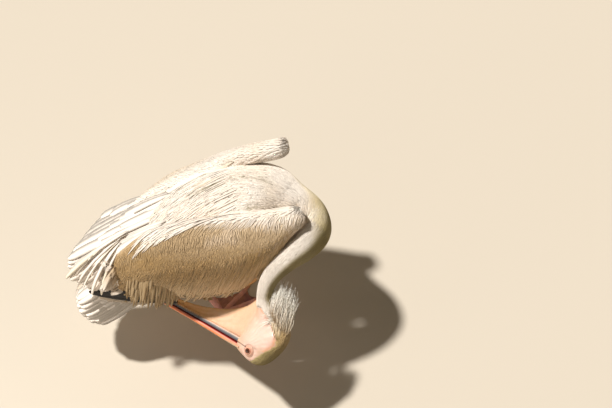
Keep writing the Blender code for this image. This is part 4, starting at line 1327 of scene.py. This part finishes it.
def vent_feathers():
    """Soft feathers between the flank and the tail, tinted tan as painted shade."""
    roots = [(-.2591, -.0799, .235), (-.2402, -.0913, .235), (-.2214, -.1026, .235), (-.2026, -.1139, .235),
             (-.1788, -.1266, .235)]
    tips = [(-.3721, -.0611, .208), (-.3529, -.0833, .205), (-.3238, -.0974, .205), (-.2948, -.1114, .205),
            (-.2609, -.128, .207)]
    sets = []
    for start, end, rise, count in ((-.1, 1.0, .0, 16), (-.2, .78, .003, 15), (-.3, .55, .006, 15)):
        ts = (np.arange(count) + .5) / count
        a, b = rows_between(roots, tips, ts, start, end)
        up = np.tile((-.10, -.35, .93), (count, 1))
        sets.append((a + up * rise, b + up * rise + rng.normal(0, .002, b.shape), up))
    a, b, up = (np.concatenate(v) for v in zip(*sets))
    n = len(a)
    # tan as painted shade
    tint = np.array((.66, .55, .44))[None] * (1 + rng.normal(0, .08, n))[:, None]
    plume("vent_feathers", a, b, up, rng.uniform(.009, .012, n), BLUNT, .004, tint, QUILL,
          rng.normal(0, .002, n), FEATHER, (), "plumage_white", fan_home(n, 3))


vent_feathers()


def flank_skirt():
    """The flank's hindmost feathers, which cover the roots of the black quills."""
    roots = [(-.1482, -.146, .3705), (-.1896, -.14, .388), (-.2251, -.128, .3936), (-.2625, -.108, .3877)]
    tips = [(-.1774, -.166, .2275), (-.2188, -.162, .2289), (-.2612, -.15, .2279), (-.3017, -.134, .2397)]
    sets = []
    for start, end, rise, count in ((.0, 1.0, .0, 30), (.0, .86, .0010, 29), (-.05, .70, .0018, 29),
                                    (-.10, .54, .0024, 28)):
        ts = (np.arange(count) + .5 + rng.uniform(-.3, .3, count)) / count
        a, b = rows_between(roots, tips, ts, start, end)
        b = a + (b - a) * rng.uniform(.88, 1.04, count)[:, None]
        up = np.tile((-.15, -.93, .33), (count, 1))
        sets.append((a + up * rise, b + up * rise + rng.normal(0, .002, b.shape), rolled(a, b, up, .06)))
    a, b, up = (np.concatenate(v) for v in zip(*sets))
    n = len(a)
    # dark brown as painted shade of the flank's lowest feathers
    tint = np.array((.37, .255, .13))[None] * (1 + rng.normal(0, .07, n))[:, None]
    plume("flank_skirt", a, b, up, rng.uniform(.0035, .0055, n), LONG, .002, tint, QUILL,
          rng.normal(0, .002, n), FEATHER, (), "wing_covert_white", fan_home(n, 4))


flank_skirt()


def primaries(label, rows, out):
    count = 8
    ts = np.linspace(0, 1, count)
    a, b = rows_between(rows[0], rows[1], ts, -.25, 1.0)
    reach = np.linspace(1.0, .80, count)[:, None]
    b = a + (b - a) * reach
    up = np.tile(np.array((0.0, out * .55, .83)), (count, 1))
    tint = np.tile(SOOT, (count, 1)) * rng.uniform(.8, 1.5, count)[:, None]
    plume("primaries_" + label, a, b, up, np.full(count, .0085), BLUNT, .004, tint, BLACK,
          rng.normal(0, .003, count), .0010, ("flight_quills_" + label,), "flight_black", fan_home(count))


primaries("right", RIGHT_FLIGHT, -1)
primaries("left", LEFT_FLIGHT, 1)


def scapulars():
    """Long pointed feathers over the back, between the wings."""
    count = 760
    x = rng.uniform(-.20, .045, count)
    y = rng.uniform(-.085, .080, count)
    p, nrm = [], []
    for i in range(count):
        hit = GUIDE.ray_cast(Vector((x[i] + SHIFT.x, y[i] + SHIFT.y, .60)), Vector((0, 0, -1)))
        p.append(hit[0])
        nrm.append(hit[1])
    p, nrm = np.array(p), np.array(nrm)
    way = jitter(unit(body_flow(0.0, 7.5)(p, nrm) + np.array((0, -.21, 0))), nrm, .05)
    far = rng.uniform(.070, .115, count)
    tip = rng.uniform(.0048, .0053, count)
    centre, normal, rise = march(p, nrm, way, far, LANCE, np.full(count, .0038), tip)
    tint = plumage_colour(p) * (1 + rng.normal(0, .02, count))[:, None]
    # cream patches painted as shade lines between the long feathers
    tint = np.clip(blended(tint, CREAM, smooth(.62, .85, value_noise(p, .018, 12)) * .55), 0, .95)
    feather_mesh("scapulars", centre, normal, shape(rng.uniform(.0026, .0044, count), LANCE),
                 np.full((count, len(LANCE)), THIN_FEATHER), tint, homes(p, np.full(count, R_TRUNK)), PLUMAGE,
                 (), "plumage_white", rise=rise)


scapulars()


def crest():
    """Loose wisps standing from the nape."""
    count = 420
    t = rng.random(count)
    a = np.array([along(CREST[0], v * 3) for v in t]) + rng.normal(0, .0045, (count, 3))
    b = np.array([along(CREST[1], v * 3) for v in np.clip(t + rng.normal(0, .07, count), 0, 1)])
    # tips gather in locks
    lock = rng.integers(0, 22, count)
    b += rng.normal(0, .0075, (22, 3))[lock]
    b = a + (b - a) * (rng.uniform(.35, 1.0, count) ** .7)[:, None] + rng.normal(0, .0025, (count, 3))
    axes = np.array([BILL, CROWN, SIDE])
    a, b = a @ axes + np.array(HEAD_AT), b @ axes + np.array(HEAD_AT)
    up = np.tile(np.array(SIDE), (count, 1)) + rng.normal(0, .30, (count, 3))
    tint = np.tile(np.array((.95, .93, .88)), (count, 1)) * (1 + rng.normal(0, .06, count))[:, None]
    fade = np.array([row[0] for row in WISP])[None, :, None] ** .7
    root = plumage_colour(a + np.array(SHIFT))
    tint = root[:, None] * (1 - fade) + tint[:, None] * fade
    plume("crest_feathers", a, b, up, rng.uniform(.0004, .0010, count), WISP, rng.normal(.003, .004, count), tint,
          PLUMAGE, rng.normal(-.002, .004, count), STRAND, ("crest",), "crest_cream",
          rng.random((count, 2)) * .98 + .01)


def cheek_strands():
    """Long strands from the nape's edge that sweep forward over the side of the neck."""
    roots, tips = [], []
    for side in (1, -1):
        for _ in range(190):
            t = rng.random()
            root = mix((-.002, -.044, .022), (-.038, -.016, .026), t)
            tip = mix((.050, -.086, .034), (.004, -.118, .030), min(1.0, max(0.0, t + rng.normal(0, .12))))
            for rows, q in ((roots, root), (tips, tip)):
                q = np.array(q) + rng.normal(0, .003, 3)
                rows.append(tuple(head_point(q[0], q[1], q[2] * side) + SHIFT))
    a, b = np.array(roots), np.array(tips)
    n = len(a)
    p, nrm = a.copy(), a.copy()
    for i in range(n):
        hit = GUIDE.find_nearest(Vector(a[i]))
        p[i], nrm[i] = hit[0], hit[1]
    way = unit(b - p)
    far = np.linalg.norm(b - p, axis=1) * rng.uniform(.55, 1.05, n)
    tip = rng.uniform(.003, .008, n)
    centre, normal, _ = march(p, nrm, way, far, WISP, np.full(n, .0010), tip, .3)
    s = np.array([row[0] for row in WISP])[None, :, None]
    root = plumage_colour(p)
    tint = root[:, None] * (1 - s) + np.array((.90, .86, .79)) * s
    tint = tint * (1 + rng.normal(0, .06, n))[:, None, None]
    feather_mesh("nape_strands", centre, normal, shape(rng.uniform(.0006, .0015, n), WISP),
                 np.full((n, len(WISP)), STRAND), np.clip(tint, 0, .95), homes(p, np.full(n, R_HEAD)), PLUMAGE,
                 (), "crest_cream", .07)


crest()
cheek_strands()


# ------------------------------------------------------------------------- bill

def bill_piece(name, rows, colour, node, slot, ridge=0.0):
    parts = Parts()
    rings = []
    for u in np.linspace(0, len(rows) - 1, 72):
        b, low, high, w = along(rows, u)
        ring = []
        for i in range(32):
            t = 2 * math.pi * i / 32
            x = squared(math.cos(t), 2 / 2.6) * w
            y = squared(math.sin(t), 2 / 2.6) * (high - low) / 2
            if ridge and math.sin(t) > 0:
                y += ridge * (math.exp(-(x / .0035) ** 2) - .6 * math.exp(-((abs(x) - .0075) / .0022) ** 2))
            ring.append(head_point(b + BILL_AT, (low + high) / 2 + y, x))
        rings.append(ring)
    parts.loft(rings, 0)
    me = parts.mesh(name)
    co = coords(me)
    paint(me, colour(co, rows))
    shade_smooth(me)
    finish_piece(placed(name, me), HORN, (node,), slot)


def blend_bands(x, stops):
    """Colour bands: stops are (place, colour)."""
    xs = [s[0] for s in stops]
    return np.stack([np.interp(x, xs, [s[1][i] for s in stops]) for i in range(3)], 1)


def bill_place(co, rows):
    """Places along the bill, up it from 0 to 1 and out from its middle from 0 to 1."""
    b, k, s = to_head(co)
    along_bill = b - BILL_AT
    low, high, w = (np.interp(along_bill, [r[0] for r in rows], [r[i] for r in rows]) for i in (1, 2, 3))
    return along_bill, (k - low) / np.maximum(high - low, 1e-4), np.abs(s) / np.maximum(w, 1e-4)


def upper_colour(co, rows):
    b, up, out = bill_place(co, rows)
    # darkest red along the cutting edge: the edge's own red, deepened as painted shade of the gap between the
    # jaws
    rgb = blend_bands(up, ((0, (.30, .015, .012)), (.12, (.42, .03, .02)), (.26, (.80, .34, .26)),
                           (.52, (.84, .22, .10)), (.85, (.82, .27, .08)), (1.0, (.62, .36, .22))))
    # a grey ridge, a red nail and a dull base
    rgb = blended(rgb, (.40, .38, .40), smooth(.35, .10, out) * smooth(.7, .95, up))
    rgb = blended(rgb, (.80, .20, .10), smooth(.312, .322, b))
    rgb = blended(rgb, (.60, .47, .32), smooth(.060, .005, b) * smooth(.45, .70, up) * .9)
    return rgb * (.9 + .2 * value_noise(co, .01, 21))[:, None]


def lower_colour(co, rows):
    _, up, _ = bill_place(co, rows)
    # darkest red along the cutting edge: the edge's own red, deepened as painted shade of the gap between the
    # jaws
    rgb = blend_bands(up, ((0, (.84, .66, .56)), (.16, (.86, .70, .62)), (.30, (.20, .20, .21)),
                           (.5, (.10, .105, .12)), (.78, (.085, .095, .12)), (.92, (.14, .03, .03)),
                           (1.0, (.28, .02, .02))))
    return rgb * (.88 + .24 * value_noise(co, .008, 22))[:, None]


bill_piece("bill_upper_horn_shape", BILL_UPPER, upper_colour, "bill_upper", "bill_upper_horn", .0013)
bill_piece("bill_lower_horn_shape", BILL_LOWER, lower_colour, "bill_lower", "bill_lower_horn")


# ------------------------------------------------------------------------- eyes

def eye_piece(label, side):
    axis, centre = eye_axis(side)
    bm = bmesh.new()
    bmesh.ops.create_uvsphere(bm, u_segments=40, v_segments=28, radius=EYE_RADIUS - .0002)
    turn = axis.to_track_quat("Z", "Y").to_matrix().to_4x4()
    for v in bm.verts:
        high = v.co.z / EYE_RADIUS
        if high > .82:                 # the cornea stands a little proud
            v.co.z += .0007 * float(smooth(.82, 1.0, high))
    bm.transform(Matrix.Translation(centre) @ turn)
    me = bpy.data.meshes.new("eyeball_" + label)
    bm.to_mesh(me)
    bm.free()
    co = coords(me)
    q = unit(co - np.array(centre)) @ np.array(axis)
    angle = np.degrees(np.arccos(np.clip(q, -1, 1)))
    rgb = blend_bands(angle, ((0, (.004, .003, .003)), (15, (.004, .003, .003)), (18, (.085, .022, .010)),
                              (31, (.14, .040, .016)), (35, (.02, .010, .008)), (60, (.03, .02, .018)),
                              (180, (.10, .08, .07))))
    paint(me, rgb)
    shade_smooth(me)
    finish_piece(placed("eyeball_" + label, me), EYE, ("eye_" + label,), "eye_brown")


eye_piece("right", 1)
eye_piece("left", -1)


# ------------------------------------------------------------------------- feet
TOES = ((-34, .104, 3), (-6, .132, 4), (20, .118, 4), (84, .060, 2))
TOE_RADIUS = .0060


def toe_ends(x, y, side, turn):
    heel = Vector((x, y, 0.0))
    ends = []
    for angle, length, _ in TOES:
        t = math.radians(turn - angle * side)
        ends.append(heel + Vector((math.cos(t), math.sin(t), 0.0)) * length)
    return heel, ends


def toe_rings(heel, end, radius, joints):
    rings = []
    way = (end - heel).normalized()
    side = Vector((-way.y, way.x, 0.0))
    length = (end - heel).length
    for s in np.linspace(0, 1, 40):
        swell = 1 + .16 * math.cos(2 * math.pi * joints * s) ** 3
        r = radius * (1.05 - .30 * s) * swell * float(smooth(1.06, .90, s) * .72 + .28)
        centre = heel + way * length * s
        ring = []
        for k in range(16):
            t = 2 * math.pi * k / 16
            p = centre + side * math.cos(t) * r
            p.z = max(.0002, r * .92 + math.sin(t) * r)
            ring.append(p)
        rings.append(ring)
    return rings


def web_rings(heel, a, b):
    """A sheet between two toes, its free edge curved in, as rings across from toe to toe."""
    rings = []
    for t in np.linspace(0, 1, 26):
        end = a + (b - a) * t
        reach = .92 - .14 * 4 * t * (1 - t)
        path = [heel + (end - heel) * reach * s for s in np.linspace(.05, 1, 14)]
        sag = .0009 * 4 * t * (1 - t)
        top = [p + Vector((0, 0, .0046 - sag + .0004 * math.sin(i * 1.3 + t * 9))) for i, p in enumerate(path)]
        low = [p + Vector((0, 0, .0014)) for p in path]
        rings.append(top + low[::-1])
    return rings


def foot_piece(label, x, y, side, turn):
    parts = Parts()
    heel, ends = toe_ends(x, y, side, turn)
    for (_, _, joints), end in zip(TOES, ends):
        parts.loft(toe_rings(heel, end, TOE_RADIUS * (.85 if joints == 2 else 1.0), joints), 0)
    for a, b in zip(ends, ends[1:]):
        parts.loft(web_rings(heel, a, b), 1)
    path = leg_path(x, y, LEAN * side)
    path = [(x + .013, y, .0062, .0062), (x + .004, y, .0108, .0088), *path,
            (x - .024, y + LEAN * side, .160, .010)]
    parts.loft(tube_rings(path, 24, 60), 2)
    obj = remeshed(parts, "foot_and_leg_" + label, .0014, 3)
    me = obj.data
    co = coords(me)
    co[:, 2] = np.maximum(co[:, 2], 0.0)
    set_coords(me, co)
    q = co - np.array(SHIFT) - np.array(heel)
    near = np.full(len(co), 9.0)
    tip = np.zeros(len(co))
    for end in ends:
        e = np.array(end - heel)
        t = np.clip((q[:, :2] @ e[:2]) / (e @ e), 0, 1)
        d = np.linalg.norm(q[:, :2] - t[:, None] * e[:2], axis=1)
        closer = d < near
        near = np.where(closer, d, near)
        tip = np.where(closer, t, tip)
    # the webs' pink is darkened to purple as painted shade; toes and legs stay pink
    web_in_shade, pink, orange = np.array((.22, .085, .095)), (.80, .40, .36), (.86, .40, .13)
    legs = smooth(.016, .030, q[:, 2])
    rgb = blended(web_in_shade, pink, np.maximum(smooth(.0085, .0050, near), legs))
    glow = (smooth(.7, 1.0, tip) * .55 + .35 * value_noise(co, .015, 31)) * (1 - legs)
    rgb = blended(rgb, orange, glow)
    rgb *= (.86 + .28 * value_noise(co, .007, 32))[:, None]
    paint(me, rgb)
    shade_smooth(me)
    finish_piece(obj, FOOT, ("foot_" + label, "leg_" + label), "foot_skin")
    return heel, ends


def claws(feet):
    parts = Parts()
    for heel, ends in feet:
        for end in ends:
            way = (end - heel).normalized()
            side = Vector((-way.y, way.x, 0.0))
            rings = []
            for s in np.linspace(0, 1, 9):
                r = .0027 * (1 - s) ** .7 + .0002
                centre = end + way * (.0135 * s - .004) + Vector((0, 0, .0036 * (1 - s ** 1.6) + .0006))
                rings.append(oval(centre, side, Vector((0, 0, 1)), r * .8, r, 12, 2.0))
            parts.loft(rings, 0)
    me = parts.mesh("claws")
    co = coords(me)
    co[:, 2] = np.maximum(co[:, 2], 0.0)
    set_coords(me, co)
    paint(me, np.array((.34, .24, .17)) * (.8 + .4 * value_noise(co, .004, 33))[:, None])
    shade_smooth(me)
    finish_piece(placed("claws", me), CLAW, (), "foot_skin")


claws([foot_piece(*row) for row in FEET])

# ------------------------------------------------------- floor, lights, camera


def floor():
    bm = bmesh.new()
    bmesh.ops.create_grid(bm, x_segments=8, y_segments=8, size=6.0)
    me = bpy.data.meshes.new("floor")
    bm.to_mesh(me)
    bm.free()
    shader = Shader("pale_floor")
    shader.surface(Base_Color=(.60, .54, .46, 1), Roughness=.9)
    me.materials.append(shader.mat)
    placed("floor", me)


def lamp(name, kind, place, aim, power, size, colour):
    data = bpy.data.lights.new(name, kind)
    data.energy = power
    data.color = colour
    if kind == "AREA":
        data.shape, data.size = "DISK", size
    else:
        data.angle = size
    obj = placed(name, data)
    obj.location = place
    obj.rotation_mode = "QUATERNION"
    obj.rotation_quaternion = (Vector(aim) - Vector(place)).to_track_quat("-Z", "Y")


floor()
KEY_WAY = Vector((.41, -.25, -.875)).normalized()
lamp("key", "SUN", -KEY_WAY * 5, (0, 0, 0), 4.6, math.radians(4), (1.0, .965, .90))
lamp("tail_fill", "AREA", (-1.1, -.5, .7), (-.25, .0, .18), 2.6, .6, (1.0, .96, .90))
lamp("fill", "AREA", (-1.3, -1.7, .35), (-.05, -.05, .22), 2.4, 1.0, (1.0, .74, .44))
world = bpy.data.worlds.new("studio")
bpy.context.scene.world = world
world.use_nodes = True
world.node_tree.nodes["Background"].inputs[0].default_value = (1.0, .86, .66, 1)
world.node_tree.nodes["Background"].inputs[1].default_value = .17

CAMERA_AT = Vector((-.433, -2.419, 4.023)) + SHIFT
AZIMUTH, ELEVATION = math.radians(-15), math.radians(56)
camera = placed("camera", bpy.data.cameras.new("camera"))
back = Vector((math.sin(AZIMUTH) * math.cos(ELEVATION), -math.cos(AZIMUTH) * math.cos(ELEVATION),
               math.sin(ELEVATION)))
right = Vector((math.cos(AZIMUTH), math.sin(AZIMUTH), 0))
over = back.cross(right)
camera.matrix_world = Matrix((
    (right.x, over.x, back.x, CAMERA_AT.x), (right.y, over.y, back.y, CAMERA_AT.y),
    (right.z, over.z, back.z, CAMERA_AT.z), (0, 0, 0, 1)))
camera.data.sensor_width = 36
camera.data.lens = 100
bpy.context.scene.camera = camera
bpy.context.scene.view_settings.view_transform = "Standard"
